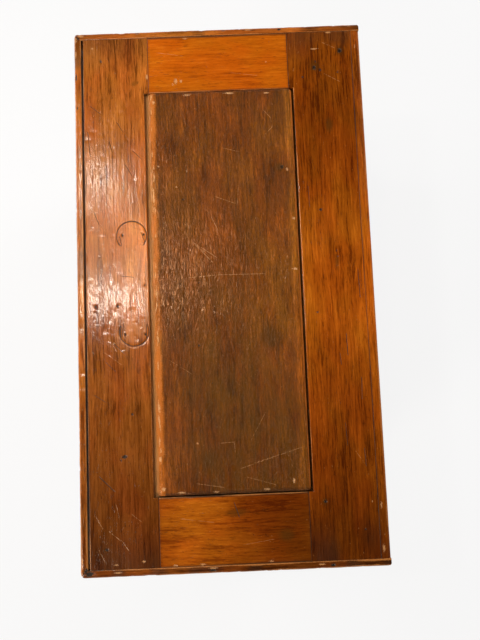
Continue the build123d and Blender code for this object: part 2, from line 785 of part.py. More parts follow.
def all_nodes():
    """Every separate piece of the chest, by name."""
    nodes = {
        "front_board": front_board(),
        "back_board": back_board(),
        "left_end_board": end_board(-1, base_left_nails),
        "right_end_board": end_board(1, base_right_nails),
        "base_moulding_front": base_moulding_front(),
        "base_moulding_left": base_moulding_end(-1, base_left_nails),
        "base_moulding_right": base_moulding_end(1, base_right_nails),
        "base_moulding_nails": Compound(children=base_nails),
        "bottom_nails": Compound(children=bottom_nails),
        "till_front": till_front() - till_bottom(),
        "till_bottom": till_bottom(),
        "hinge_case_screws": Compound(children=case_screws),
        "hinge_lid_screws": Compound(children=lid_screws),
        "lock_case": lock_case(),
        "lock_screws": Compound(children=lock_screws),
        "lock_bolt": bolt_body(),
        "lock_strike": lock_strike(),
        "strike_screws": Compound(children=strike_screws),
        "lid_front_stile": lid_front_stile(),
        "lid_back_stile": lid_back_stile(),
        "lid_left_rail": lid_rail(-frame_half, left_rail_edge),
        "lid_right_rail": lid_rail(frame_half, right_rail_edge),
        "lid_panel": lid_panel(),
        "lid_front_moulding": lid_front_moulding(),
        "lid_left_moulding": lid_end_moulding(-1, left_nails),
        "lid_right_moulding": lid_end_moulding(1, right_nails),
        "lid_moulding_nails": Compound(children=lid_nails),
    }
    for i, (low, high) in enumerate(plank_lines):
        nodes[f"bottom_plank_{i + 1}"] = bottom_plank(low, high)
    for name, side in (("left", -1), ("right", 1)):
        nodes[f"foot_front_{name}_face"] = foot_front_face(side)
        nodes[f"foot_front_{name}_side"] = foot_side(side, True)
        nodes[f"foot_front_{name}_block"] = foot_block(side, True)
        nodes[f"foot_back_{name}_side"] = foot_side(side, False)
        nodes[f"foot_back_{name}_brace"] = foot_brace(side)
        nodes[f"foot_back_{name}_block"] = foot_block(side, False)
    for name, x in hinge_centres():
        nodes[f"hinge_{name}_lower_leaf"] = hinge_leaf(x, False)
        nodes[f"hinge_{name}_upper_leaf"] = hinge_leaf(x, True)
        nodes[f"hinge_{name}_pin"] = hinge_pin(x)
    return nodes


os.makedirs("parts", exist_ok=True)
for name, shape in all_nodes().items():
    export_step(shape, os.path.join("parts", name + ".step"))
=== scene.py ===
import json
import math
import bmesh
import bpy
import numpy as np
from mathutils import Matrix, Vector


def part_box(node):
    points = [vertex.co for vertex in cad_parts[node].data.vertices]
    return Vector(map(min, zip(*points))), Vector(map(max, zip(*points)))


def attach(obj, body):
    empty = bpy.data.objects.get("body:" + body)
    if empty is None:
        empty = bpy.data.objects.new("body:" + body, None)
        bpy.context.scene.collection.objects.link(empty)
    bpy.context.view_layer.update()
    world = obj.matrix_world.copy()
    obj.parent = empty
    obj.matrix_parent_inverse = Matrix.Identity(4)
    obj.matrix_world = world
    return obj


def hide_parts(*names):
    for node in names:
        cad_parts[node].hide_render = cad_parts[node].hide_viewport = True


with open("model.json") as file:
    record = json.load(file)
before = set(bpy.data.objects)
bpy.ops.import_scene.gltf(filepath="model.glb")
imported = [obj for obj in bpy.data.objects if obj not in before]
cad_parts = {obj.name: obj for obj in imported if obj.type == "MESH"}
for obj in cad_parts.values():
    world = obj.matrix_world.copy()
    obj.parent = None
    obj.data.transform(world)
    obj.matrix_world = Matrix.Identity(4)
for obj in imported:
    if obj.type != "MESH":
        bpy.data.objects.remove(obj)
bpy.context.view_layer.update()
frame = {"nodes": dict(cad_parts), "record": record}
nodes = frame["nodes"]
record = frame["record"]
slotOf = {part["node"]: part["material_slot"] for part in record["subparts"]}
bodyOf = {node: body for body, members in record["behaviour"]["bodies"].items() for node in members}


class Place:
    # a node's box in millimetres
    def __init__(self, node):
        low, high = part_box(node)
        self.x0, self.y0, self.z0 = [value * 1000 for value in low]
        self.x1, self.y1, self.z1 = [value * 1000 for value in high]


# The lid's lines, read from the frame, in millimetres
frontStile = Place("lid_front_stile")
backStile = Place("lid_back_stile")
leftRail = Place("lid_left_rail")
rightRail = Place("lid_right_rail")
panelBox = Place("lid_panel")
frontMoulding = Place("lid_front_moulding")
leftMoulding = Place("lid_left_moulding")
lidTop = frontStile.z1
lidUnder = frontStile.z0

lid = {
    "valley": 8.5,  # the stiles' upper lip is cut back this far beside the panel
    "grooveDepth": 10.0,
    "grooveFloor": 7.0,  # above the lid's underside
    "grooveHeight": 7.0,
    "haunch": 15.0,
    "mouldingWidth": 14.0,
    "mitreGap": 1.0,
    "frontCorner": 13.0,  # worn corner radii, seen from above
    "backCorner": 7.0,
    "seam": 0.6,  # half width of the joints' dark lines
    "step": 2.4,  # spacing of the surface grids
    "fineStep": 1.5,
}
grooveLow = lidUnder + lid["grooveFloor"]
grooveHigh = grooveLow + lid["grooveHeight"]


# Shapes


def smooth(low, high, value):
    # 0 below low, 1 above high and an S curve between; low may be the larger one
    t = np.clip((value - low) / (high - low), 0, 1)
    return t * t * (3 - 2 * t)


def softNoise(x, y, cellX, cellY, seed):
    # random heights on a lattice of cellX by cellY, joined by smooth cubic steps, from 0 to 1
    table = np.random.default_rng(seed).random((97, 89))
    u, v = x / cellX, y / cellY
    i, j = np.floor(u).astype(int), np.floor(v).astype(int)
    a, b = smooth(0, 1, u - i), smooth(0, 1, v - j)
    near = table[i % 97, j % 89] * (1 - a) + table[(i + 1) % 97, j % 89] * a
    far = table[i % 97, (j + 1) % 89] * (1 - a) + table[(i + 1) % 97, (j + 1) % 89] * a
    return near * (1 - b) + far * b


def stations(low, high, step, steps=(), fine=()):
    # even places from low to high, closer near both ends and in the fine stretches, doubled at the steps
    nearEnd = np.array([0.2, 0.7, 1.5])
    places = [np.arange(low, high, step), low + nearEnd, high - nearEnd, [high]]
    places += [np.arange(a, b, lid["fineStep"]) for a, b in fine]
    places = np.unique(np.concatenate(places).round(3))
    near = np.min([np.abs(places - s) for s in steps], axis=0) if steps else np.full(places.shape, 9.0)
    places = places[near > 0.6]
    doubled = [s + side for s in steps for side in (-0.5, 0, 0, 0.5)]
    return np.sort(np.concatenate([places, doubled]))


def zoneOf(places, low, high):
    # 1 between the two steps and 0 outside; at a doubled place the first copy belongs to the side before it
    order = np.arange(len(places))
    first = np.searchsorted(places, low, side="left")
    last = np.searchsorted(places, high, side="left")
    return ((order > first) & (order <= last)).astype(float)


def carriedLoop(corners, radii, arcSteps, spans):
    # a closed outline at every station: corners rounded by quadratic curves, straight runs divided evenly
    def towards(target):
        step = target - corners
        length = np.linalg.norm(step, axis=2, keepdims=True)
        return corners + step / np.maximum(length, 1e-9) * np.minimum(radii[..., None], 0.45 * length)

    start, end = towards(np.roll(corners, 1, axis=1)), towards(np.roll(corners, -1, axis=1))
    following = np.roll(start, -1, axis=1)
    t = np.linspace(0, 1, arcSteps + 1)[None, :, None]
    rows = []
    for k, span in enumerate(spans):
        a, c, b = start[:, k, None], corners[:, k, None], end[:, k, None]
        rows.append((1 - t) ** 2 * a + 2 * t * (1 - t) * c + t**2 * b)
        s = np.arange(1, span)[None, :, None] / span
        rows.append(b * (1 - s) + following[:, k, None] * s)
    return np.concatenate(rows, axis=1)


def loopCorners(outside, inside, zone):
    # corner lists for the two kinds of cross-section, mixed by the zone value at each station
    return np.array(outside)[None] * (1 - zone[:, None, None]) + np.array(inside)[None] * zone[:, None, None]


def ringPoints(places, loops, axis):
    # the outlines set in space: axis 0 carries a (y, z) outline along X, axis 1 an (x, z) outline along Y
    along = np.broadcast_to(places[:, None], loops.shape[:2])
    first, second = (along, loops[..., 0]) if axis == 0 else (loops[..., 0], along)
    return np.stack([first, second, loops[..., 1]], axis=-1)


def wearAlong(places, cell, seed):
    # the soft noise along one direction only
    return softNoise(places, places * 0, cell, 9, seed)


def newPiece(name, mesh, sharp=38):
    # an object at the origin, shaded smooth except at edges sharper than the angle in degrees
    mesh.shade_smooth()
    mesh.set_sharp_from_angle(angle=math.radians(sharp))
    piece = bpy.data.objects.new(name, mesh)
    bpy.context.scene.collection.objects.link(piece)
    return piece


def closedSkin(name, points):
    # rings of points joined by quads and closed by a flat cap at each end, doubles merged
    rings, around = points.shape[:2]
    index = np.arange(rings * around).reshape(rings, around)
    a, b = index[:-1], index[1:]
    quads = np.stack([a, np.roll(a, -1, axis=1), np.roll(b, -1, axis=1), b], axis=-1).reshape(-1, 4)
    caps = [index[0][::-1].tolist(), index[-1].tolist()]
    mesh = bpy.data.meshes.new(name)
    mesh.from_pydata((points.reshape(-1, 3) / 1000).tolist(), [], quads.tolist() + caps)
    form = bmesh.new()
    form.from_mesh(mesh)
    bmesh.ops.remove_doubles(form, verts=form.verts, dist=2e-6)
    bmesh.ops.dissolve_degenerate(form, edges=form.edges, dist=2e-6)
    bmesh.ops.recalc_face_normals(form, faces=form.faces)
    form.to_mesh(mesh)
    form.free()
    return newPiece(name, mesh)


def meshPoints(piece):
    # the corners of a piece as an array in millimetres
    co = np.empty(len(piece.data.vertices) * 3, np.float32)
    piece.data.vertices.foreach_get("co", co)
    return co.reshape(-1, 3).astype(float) * 1000


def setPoints(piece, points):
    piece.data.vertices.foreach_set("co", (points / 1000).astype(np.float32).ravel())
    piece.data.update()


def setShades(piece, shades):
    # writes each named value onto the corners, for the finish to read
    for name, values in shades.items():
        layer = piece.data.attributes.new(name, "FLOAT", "POINT")
        layer.data.foreach_set("value", np.broadcast_to(values, len(piece.data.vertices)).astype(np.float32))


# Marks on the lid, in millimetres. A look lists them by kind:
# holes, chips and knots are ovals (x, y, half length along X, half length along Y)
# cracks and scratches are lines (x0, y0, x1, y1, half width)
# rings are arcs (x, y, radius, half width, facing along X, degrees each side of it)
# arrises are edges that wear (place across the board, height, low end, high end, fade)


def ovalOut(x, y, spot):
    # 0 in the middle of an oval and 1 at its rim
    cx, cy, rx, ry = spot
    return np.hypot((x - cx) / rx, (y - cy) / ry)


def lineOut(x, y, line):
    # across a straight stretch in half widths, signed, and the plain distance to it
    x0, y0, x1, y1, width = line
    length = np.hypot(x1 - x0, y1 - y0)
    along = ((x - x0) * (x1 - x0) + (y - y0) * (y1 - y0)) / length
    across = ((x - x0) * (y1 - y0) - (y - y0) * (x1 - x0)) / length
    past = np.maximum(0, np.maximum(-along, along - length))
    return across / width, np.hypot(across, past)


def ringOut(x, y, ring):
    # across an arc in half widths, signed, and the distance to it; the arc spreads both sides of its
    # facing, which is 1 or -1 along X
    cx, cy, radius, width, facing, spread = ring
    out = np.hypot(x - cx, y - cy)
    turn = np.degrees(np.arccos(np.clip((x - cx) * facing / np.maximum(out, 1e-6), -1, 1)))
    past = np.radians(np.maximum(0, turn - spread)) * radius
    return (out - radius) / width, np.hypot(out - radius, past)


def nearestOval(x, y, spots):
    # the smallest oval distance, 3 where no oval is near
    return np.minimum.reduce([np.full_like(x, 3.0)] + [ovalOut(x, y, spot) for spot in spots])


def nearestLine(x, y, kind, lines):
    # the signed offset from the nearest line, a share that fades a few millimetres away, and the distance
    offset, reach = np.full_like(x, 9.0), np.full_like(x, 99.0)
    for line in lines:
        across, distance = kind(x, y, line)
        closer = distance < reach
        offset, reach = np.where(closer, across, offset), np.where(closer, distance, reach)
    return offset, smooth(6.0, 3.4, reach), reach


def arrisOut(points, arrises, axis):
    # distance to the nearest arris, times how fast the wear fades there
    out = np.full(len(points), 30.0)
    for across, z, low, high, fade in arrises:
        past = np.maximum(0, np.maximum(low - points[:, axis], points[:, axis] - high))
        away = np.hypot(points[:, 1 - axis] - across, points[:, 2] - z)
        out = np.minimum(out, fade * np.hypot(away, past))
    return out


sinking = {  # how deep each mark lies in the top, in millimetres
    "hole": 1.1,
    "chip": 0.45,
    "ring": 0.5,
    "dent": 0.3,
    "sway": 0.3,
}


def settle(piece, look, axis):
    # sinks the top where it is dented, eases its ends, and writes each point's distance to every kind of mark
    points = meshPoints(piece)
    x, y, z = points.T
    topness = smooth(look["top"] - 1.5, look["top"] - 0.5, z)
    holes = nearestOval(x, y, look.get("holes", ()))
    chips = nearestOval(x, y, look.get("chips", ()))
    knots = nearestOval(x, y, look.get("knots", ()))
    groove, grooveShare, grooveReach = nearestLine(x, y, ringOut, look.get("rings", ()))
    crack, crackShare, crackReach = nearestLine(x, y, lineOut, look.get("cracks", ()))
    groove = np.where(crackReach < grooveReach, crack, groove)
    grooveShare = np.where(crackReach < grooveReach, crackShare, grooveShare)
    scratch, scratchShare, _ = nearestLine(x, y, lineOut, look.get("scratches", ()))
    seed = look["seed"]
    dents = smooth(0.76, 0.95, softNoise(x, y, 17, 11, seed))
    dents += smooth(0.8, 0.97, softNoise(x, y, 8, 6, seed + 3))
    sway = softNoise(x, y, 210, 70, seed + 5) + 0.4 * softNoise(x, y, 60, 26, seed + 6)
    drop = sinking["hole"] * smooth(1, 0.4, holes) + sinking["chip"] * smooth(1, 0.4, chips)
    drop += sinking["ring"] * smooth(2.4, 0.6, grooveReach)
    drop += sinking["dent"] * dents + sinking["sway"] * sway
    points[:, 2] -= drop * topness * look.get("relief", 1.0)
    ends = points[:, axis]
    fromEnd = np.minimum(ends - ends.min(), ends.max() - ends)
    ease = look.get("endEase", 0.5)
    points[:, 2] -= topness * ease * smooth(max(ease, 0.01) * 1.6, 0, fromEnd)
    setPoints(piece, points)
    off = 3.0 * (1 - topness)
    shades = {
        "hole": holes + off,
        "chip": chips + off,
        "knot": knots + off,
        "groove": groove,
        "grooveShare": grooveShare * topness,
        "scratch": scratch,
        "scratchShare": scratchShare * topness,
        "edge": arrisOut(points, look["arrises"], axis),
        "tone": look["tone"](x, y),
        "grimeAndShade": look["grimeAndShade"](x, y, z),
    }
    for extra in ("olive", "dust"):
        shades[extra] = look[extra](x, y, z) if extra in look else 0.0
    setShades(piece, shades)


# Shader maths


class Wire:
    # a socket's output with the usual operators; each one adds a Math node
    def __init__(self, finish, socket):
        self.finish, self.socket = finish, socket

    def math(self, operation, *others, clamp=False):
        values = {i: v for i, v in enumerate(others)}
        return self.finish.add("ShaderNodeMath", {"operation": operation, "use_clamp": clamp}, values)

    def __add__(self, other):
        return self.math("ADD", self, other)

    def __radd__(self, other):
        return self.math("ADD", other, self)

    def __sub__(self, other):
        return self.math("SUBTRACT", self, other)

    def __rsub__(self, other):
        return self.math("SUBTRACT", other, self)

    def __mul__(self, other):
        return self.math("MULTIPLY", self, other)

    def __rmul__(self, other):
        return self.math("MULTIPLY", other, self)

    def __abs__(self):
        return self.math("ABSOLUTE", self)

    def power(self, other):
        return self.math("POWER", self, other)

    def atMost(self, other):
        return self.math("MINIMUM", self, other)

    def atLeast(self, other):
        return self.math("MAXIMUM", self, other)

    def clamped(self):
        return self.math("ADD", self, 0.0, clamp=True)


class Finish:
    # one material, its nodes added one at a time
    def __init__(self, name):
        self.material = bpy.data.materials.new(name)
        self.material.use_nodes = True
        self.tree = self.material.node_tree
        self.tree.nodes.clear()

    def add(self, kind, settings=None, values=None, out=0):
        # one node: its settings first, then its sockets' values or links
        node = self.tree.nodes.new(kind)
        for key, value in (settings or {}).items():
            setattr(node, key, value)
        for key, value in (values or {}).items():
            if isinstance(value, Wire):
                self.tree.links.new(value.socket, node.inputs[key])
            else:
                node.inputs[key].default_value = value
        return Wire(self, node.outputs[out]) if node.outputs else None

    def place(self):
        return self.add("ShaderNodeTexCoord", out="Object")

    def shade(self, name):
        return self.add("ShaderNodeAttribute", {"attribute_name": name}, out="Fac")

    def scaled(self, vector, scale, shift=(0, 0, 0)):
        # a vector times a scale, plus a shift
        values = {0: vector, 1: scale, 2: shift}
        return self.add("ShaderNodeVectorMath", {"operation": "MULTIPLY_ADD"}, values)

    def noise(self, vector, detail, roughness):
        values = {"Vector": vector, "Scale": 1.0, "Detail": detail, "Roughness": roughness}
        return self.add("ShaderNodeTexNoise", None, values)

    def ease(self, value, low, high):
        # an S curve from 0 at low to 1 at high
        values = {"Value": value, "From Min": low, "From Max": high}
        return self.add("ShaderNodeMapRange", {"interpolation_type": "SMOOTHSTEP"}, values)

    def mix(self, share, first, second, blend="MIX"):
        settings = {"data_type": "RGBA", "blend_type": blend, "clamp_factor": True}
        return self.add("ShaderNodeMix", settings, {0: share, 6: first, 7: second}, out=2)

    def close(self, values, height, distance):
        # the surface, with the height, in units of the distance in metres, as its bump
        normal = self.add("ShaderNodeBump", None, {"Height": height, "Distance": distance, "Strength": 1.0})
        surface = self.add("ShaderNodeBsdfPrincipled", None, {**values, "Normal": normal})
        self.add("ShaderNodeOutputMaterial", None, {"Surface": surface})
        return self.material


def rgb(red, green, blue):
    # a solid colour
    return (red, green, blue, 1.0)


# Pine


def grainScale(axis, along, across):
    # one scale along the grain's axis and another across it
    return tuple(along if i == axis else across for i in range(3))


grainScales = {
    # each pattern's scale along and across the grain, per metre, and how much detail it has
    "wander": (4.0, 16.0, 2.0),
    "streaks": (2.6, 85.0, 3.0),
    "lines": (7.0, 330.0, 5.0),
    "fibres": (30.0, 1300.0, 2.0),
    "ridges": (6.0, 380.0, 1.0),
    "flecks": (62.0, 760.0, 2.0),
    "broad": (4.5, 9.0, 3.0),
    "hue": (9.0, 17.0, 2.0),
    "blotches": (12.0, 24.0, 3.0),
    "stains": (30.0, 70.0, 4.0),
    "wrinkles": (64.0, 330.0, 2.0),
    "dents": (75.0, 150.0, 1.0),
    "nicks": (130.0, 330.0, 2.0),
    "peel": (160.0, 420.0, 2.0),
}


def pineFinish(name, look):
    # shellacked pine: noises stretched along the grain give its figure, broad ones the staining and wear
    wood = Finish(name)
    axis = look["grain"]
    place = wood.place()
    shift = tuple(value * look["seed"] for value in (0.37, 0.71, 1.13))

    def grainNoise(vector, pattern, run=1.0):
        along, across, detail = grainScales[pattern]
        return wood.noise(wood.scaled(vector, grainScale(axis, along * run, across), shift), detail, 0.6)

    wander = grainNoise(place, "wander") - 0.5
    sway = wood.add("ShaderNodeCombineXYZ", None, {i: wander for i in range(3)})
    bent = wood.scaled(sway, grainScale(axis, 0.0, look["wander"]), place)
    streaks = grainNoise(bent, "streaks", look["run"])
    lines = grainNoise(bent, "lines", look["run"])
    fibres = grainNoise(bent, "fibres", look["run"])
    ridges = grainNoise(bent, "ridges", look["run"])
    broad = grainNoise(place, "broad")
    blotches = grainNoise(place, "blotches")
    peel = grainNoise(place, "peel")
    wrinkles = wood.ease(abs(grainNoise(place, "wrinkles") - 0.5), 0.07, 0.0)
    ragged = wood.noise(wood.scaled(place, (620.0, 620.0, 620.0)), 3.0, 0.6) - 0.5
    figure = streaks * 0.24 + lines * 0.5 + fibres * 0.26 - 0.5
    level = (figure * 2.2 + (broad - 0.5) * 0.5 + (blotches - 0.5) * look["mottle"]) * look["contrast"]
    colour = wood.mix(wood.ease(level, -0.26, 0.0), look["deep"], look["base"])
    colour = wood.mix(wood.ease(level, 0.0, 0.28), colour, look["bright"])
    hue = wood.mix(wood.ease(grainNoise(place, "hue"), 0.36, 0.64), look["redder"], look["yellower"])
    colour = wood.mix(look["hueShare"], colour, hue, "MULTIPLY")
    flecks = wood.ease(grainNoise(bent, "flecks"), 0.62, 0.72)
    colour = wood.mix(flecks * 0.75, colour, look["fleck"])
    stains = wood.ease(grainNoise(place, "stains"), 0.62, 0.78)
    colour = wood.mix(stains * look["stains"], colour, look["fleck"])
    bruises = wood.ease(wood.noise(wood.scaled(place, (210.0, 170.0, 190.0), shift), 3.0, 0.7), 0.66, 0.72)
    colour = wood.mix(bruises * 0.55, colour, look["fleck"])
    colour = wood.mix(wrinkles * look["crease"], colour, look["fleck"])
    rough = look["rough"] + 0.2 * (blotches - 0.5) + 0.15 * (lines - 0.5)
    dents = wood.ease(grainNoise(place, "dents"), 0.56, 0.75)
    height = streaks * 0.4 + ridges * look["ridge"] + fibres * 0.015
    height = height + peel * look["peel"] + wrinkles * look["wrinkle"]
    height = height - flecks * 0.06 - dents * look["dents"] - bruises * 0.08
    if look["marked"]:
        # the marks, each found from the distance that its shade holds, with a ragged rim
        tone = wood.shade("tone").atLeast(0.02)
        depth = tone.power(1.13)
        tint = wood.add("ShaderNodeCombineXYZ", None, {0: tone, 1: depth, 2: depth})
        colour = wood.mix(wood.shade("olive") * wood.ease(blotches, 0.36, 0.58), colour, look["olive"])
        colour = wood.mix(1.0, colour, tint, "MULTIPLY")
        knot = wood.ease(wood.shade("knot") + ragged + (blotches - 0.5) * 2.0, 1.1, 0.1)
        colour = wood.mix(knot * 0.6, colour, look["knot"])
        # dust lightens the colour; on the front stile's lip wall it is also painted light on a wall in shade
        colour = wood.mix(wood.shade("dust") * (0.6 + 0.8 * blotches), colour, look["dust"])
        # the grime shade darkens the colour: real grime at joints and ends, and painted shade deep in the
        # valleys beside the panel
        grimeAndShade = (wood.shade("grimeAndShade") * (0.5 + blotches + ragged)).clamped()
        colour = wood.mix(grimeAndShade, colour, look["grimeAndShade"])
        chip = wood.ease(wood.shade("chip") + ragged * 2.4, 1.0, 0.5)
        reach = look["wearReach"]
        rubbed = wood.shade("edge") + (ragged * 1.6 + blotches * 3.4 - 1.7) * reach
        worn = wood.ease(rubbed, reach, reach * 0.1)
        broken = wood.ease(lines * 0.5 + peel * 0.5 + ragged * 0.4, 0.40, 0.56)
        scratch = wood.ease(abs(wood.shade("scratch")), 1.0, 0.3) * wood.shade("scratchShare") * broken
        groove = wood.ease(abs(wood.shade("groove") + ragged * 1.2), 1.0, 0.35) * wood.shade("grooveShare")
        hole = wood.ease(wood.shade("hole") + ragged * 1.6, 1.05, 0.55)
        nicks = wood.ease(grainNoise(place, "nicks"), 0.7, 0.76)
        colour = wood.mix(worn * look["wornShare"], colour, look["worn"])
        colour = wood.mix((chip * 0.75).atLeast(scratch * 0.42), colour, look["raw"])
        colour = wood.mix((nicks * look["nicks"]).clamped(), colour, look["raw"])
        dark = hole.atLeast(groove * (0.55 + blotches * 0.6))
        colour = wood.mix(dark.clamped(), colour, look["hole"])
        rough = rough + 0.25 * chip + 0.3 * dark + 0.25 * wood.shade("grimeAndShade") + 0.2 * worn
        height = height - scratch * 0.12 - groove * 0.5 - chip * 0.2 - hole * 0.6
    if "bare" in look:
        bare = bareShare(wood, place, look["bare"])
        raw = wood.mix(wood.ease(figure, -0.1, 0.12), look["bareDeep"], look["bareBright"])
        colour = wood.mix(bare, colour, raw)
        rough = rough + bare * 0.35
    if look["endGrain"]:
        # pores and rings where a face looks along the grain
        normal = wood.add("ShaderNodeTexCoord", out="Normal")
        end = wood.ease(abs(wood.add("ShaderNodeSeparateXYZ", None, {0: normal}, out=axis)), 0.7, 0.9)
        pores = wood.noise(wood.scaled(place, (900.0, 900.0, 900.0)), 2.0, 0.6)
        rings = wood.noise(wood.scaled(place, grainScale(2, 260.0, 40.0)), 2.0, 0.5)
        endColour = wood.mix(wood.ease(pores * 0.4 + rings * 0.6, 0.38, 0.6), look["fleck"], look["deep"])
        colour = wood.mix(end * 0.85, colour, endColour)
        rough = rough + end * 0.2
    rough = rough.atLeast(0.12).atMost(0.95)
    values = {"Base Color": colour, "Roughness": rough, "Specular Tint": look["gloss"]}
    return wood.close(values, height, 0.001)


def bareShare(wood, place, box):
    # 1 inside a box, in metres, where the wood never had a finish
    low, high = box
    blur = 0.0004
    share = 1.0
    for i in range(3):
        part = wood.add("ShaderNodeSeparateXYZ", None, {0: place}, out=i)
        above = wood.ease(part, low[i] - blur, low[i] + blur)
        share = share * above * wood.ease(part, high[i] + blur, high[i] - blur)
    return share


pine = {
    "grain": 0,  # the axis along which it runs
    "seed": 1,
    "marked": True,  # the piece carries the shades that settle writes
    "endGrain": False,
    "wander": 0.016,  # how far the grain strays sideways, in metres
    "run": 2.2,  # a higher run makes shorter streaks
    "contrast": 1.0,
    "mottle": 0.5,  # share of the broad blotches
    "deep": rgb(0.150, 0.036, 0.004),
    "base": rgb(0.390, 0.108, 0.013),
    "bright": rgb(0.590, 0.180, 0.026),
    "fleck": rgb(0.060, 0.014, 0.002),
    "olive": rgb(0.100, 0.042, 0.002),
    # dark colour for grime, also used as painted shade in the valleys
    "grimeAndShade": rgb(0.022, 0.012, 0.006),
    # a light dust colour, which on the front stile's lip wall also paints light on a wall in shade
    "dust": rgb(0.44, 0.22, 0.09),
    "knot": rgb(0.070, 0.028, 0.004),
    "hole": rgb(0.010, 0.006, 0.004),
    "raw": rgb(0.60, 0.29, 0.10),
    "worn": rgb(0.62, 0.23, 0.05),
    "wornShare": 0.6,
    "wearReach": 1.6,  # about how many millimetres from an arris the finish is whole
    "stains": 0.4,
    "nicks": 0.25,
    "hueShare": 0.7,
    "redder": rgb(1.02, 0.84, 0.80),
    "yellower": rgb(0.95, 1.02, 0.9),
    "rough": 0.155,
    "gloss": rgb(1.0, 0.86, 0.72),
    "ridge": 0.16,  # ridge, peel, wrinkle and dents are heights in the bump
    "peel": 0.03,
    "wrinkle": 0.02,
    "crease": 0.06,  # how dark the wrinkles are
    "dents": 0.02,
    "bareDeep": rgb(0.16, 0.075, 0.028),
    "bareBright": rgb(0.42, 0.25, 0.11),
}
margin = 0.0005
bareLow = (frontStile.x0 / 1000 - margin, frontStile.y0 / 1000 - margin, 0.0)
bareHigh = (frontStile.x1 / 1000 + margin, backStile.y1 / 1000 + 2 * margin)
lidUnderside = (bareLow, (*bareHigh, lidUnder / 1000 + 0.0001))
panelUnderside = (bareLow, (*bareHigh, panelBox.z0 / 1000 + margin))


def finishOf(name, **changes):
    # the pine, with what differs on one piece
    return pineFinish(name, {**pine, **changes})


# Iron


def ironFinish(name, look):
    # dark iron with rust blooming in a coarse noise and pitted by a fine one
    metal = Finish(name)
    place = metal.place()
    bloom = metal.noise(metal.scaled(place, (60.0, 60.0, 60.0)), 4.0, 0.65)
    pits = metal.noise(metal.scaled(place, (420.0, 420.0, 420.0)), 3.0, 0.6)
    rust = metal.ease(bloom * 0.7 + pits * 0.3, look["rustFrom"], look["rustFrom"] + 0.16)
    colour = metal.mix(metal.ease(pits, 0.3, 0.7), look["iron"], look["sheen"])
    colour = metal.mix(rust, colour, look["rust"])
    rough = 0.42 + 0.35 * rust + 0.1 * pits
    values = {"Base Color": colour, "Metallic": 0.85 - 0.7 * rust, "Roughness": rough}
    return metal.close(values, pits, 0.0004)


iron = {
    "iron": rgb(0.035, 0.031, 0.028),
    "sheen": rgb(0.10, 0.09, 0.08),
    "rust": rgb(0.115, 0.042, 0.014),
    "rustFrom": 0.5,
}


def dress(piece, material, *replaced):
    # gives a piece its finish, its body and the node it stands for
    piece.data.materials.clear()
    piece.data.materials.append(material)
    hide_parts(*replaced)
    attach(piece, bodyOf[replaced[0]])
    return piece


# Recesses in the lid for the iron let into it
ironRoom = 0.3
barrelRadius = (Place("hinge_left_lower_leaf").z1 - lidUnder) + ironRoom


def cutterFrom(form):
    # an object that holds the form, to be taken out of a piece
    mesh = bpy.data.meshes.new("cutter")
    bmesh.ops.recalc_face_normals(form, faces=form.faces)
    form.to_mesh(mesh)
    form.free()
    return bpy.data.objects.new("cutter", mesh)


def boxCutter(place, low, high):
    # a box over a place's plan, from low to high
    form = bmesh.new()
    bmesh.ops.create_cube(form, size=1.0)
    size = [place.x1 - place.x0, place.y1 - place.y0, high - low]
    middle = [(place.x0 + place.x1) / 2, (place.y0 + place.y1) / 2, (low + high) / 2]
    for vertex in form.verts:
        vertex.co = [(middle[i] + vertex.co[i] * size[i]) / 1000 for i in range(3)]
    return cutterFrom(form)


def barrelCutter(pin):
    # a cylinder along X round a hinge's knuckles
    form = bmesh.new()
    radii = {"radius1": barrelRadius, "radius2": barrelRadius}
    bmesh.ops.create_cone(form, cap_ends=True, segments=32, depth=pin.x1 - pin.x0 + 2 * ironRoom, **radii)
    middleX, middleY, middleZ = (pin.x0 + pin.x1) / 2, (pin.y0 + pin.y1) / 2, (pin.z0 + pin.z1) / 2
    for vertex in form.verts:
        across, up, along = vertex.co
        vertex.co = [(middleX + along) / 1000, (middleY + across) / 1000, (middleZ + up) / 1000]
    return cutterFrom(form)


def cutRecesses(piece, cutters):
    # each cutter is taken out of the piece by an exact difference, which is then kept as its mesh
    for cutter in cutters:
        bpy.context.scene.collection.objects.link(cutter)
        cut = piece.modifiers.new("recess", "BOOLEAN")
        cut.object = cutter
        cut.operation = "DIFFERENCE"
        cut.solver = "EXACT"
    seen = bpy.context.evaluated_depsgraph_get()
    mesh = bpy.data.meshes.new_from_object(piece.evaluated_get(seen))
    piece.modifiers.clear()
    piece.data = mesh
    for cutter in cutters:
        bpy.data.objects.remove(cutter)


# Lid frame


def stileLoops(places, stile, inward, look):
    # a stile's outline in (y, z): square at the rails, with the open valley and the groove beside the panel
    outer = stile.y0 if inward > 0 else stile.y1
    shoulder = stile.y1 if inward > 0 else stile.y0
    valley = shoulder - inward * lid["valley"]
    depth = valley - inward * lid["grooveDepth"]
    zone = zoneOf(places, leftRail.x1, rightRail.x0)
    flat = [(outer, lidUnder), (outer, lidTop), (look["denseFrom"], lidTop), (valley, lidTop)]
    outside = flat + [(shoulder, lidTop - drop) for drop in (0, 3, 6, 11, 17)] + [(shoulder, lidUnder)]
    inside = flat + [
        (valley, lidTop - 4), (valley, grooveHigh), (depth, grooveHigh),
        (depth, grooveLow), (shoulder, grooveLow), (shoulder, lidUnder),
    ]
    corners = loopCorners(outside, inside, zone)
    radii = np.zeros(corners.shape[:2])
    worn = wearAlong(places, 40, look["seed"]) + 0.5 * wearAlong(places, 9, look["seed"])
    radii[:, 0] = 1.0
    radii[:, 1] = look["outerRound"] * (0.6 + 0.55 * worn)
    radii[:, 3] = zone * (1.0 + 0.9 * worn)
    radii[:, 4] = (1 - zone) * 0.6
    return corners, radii


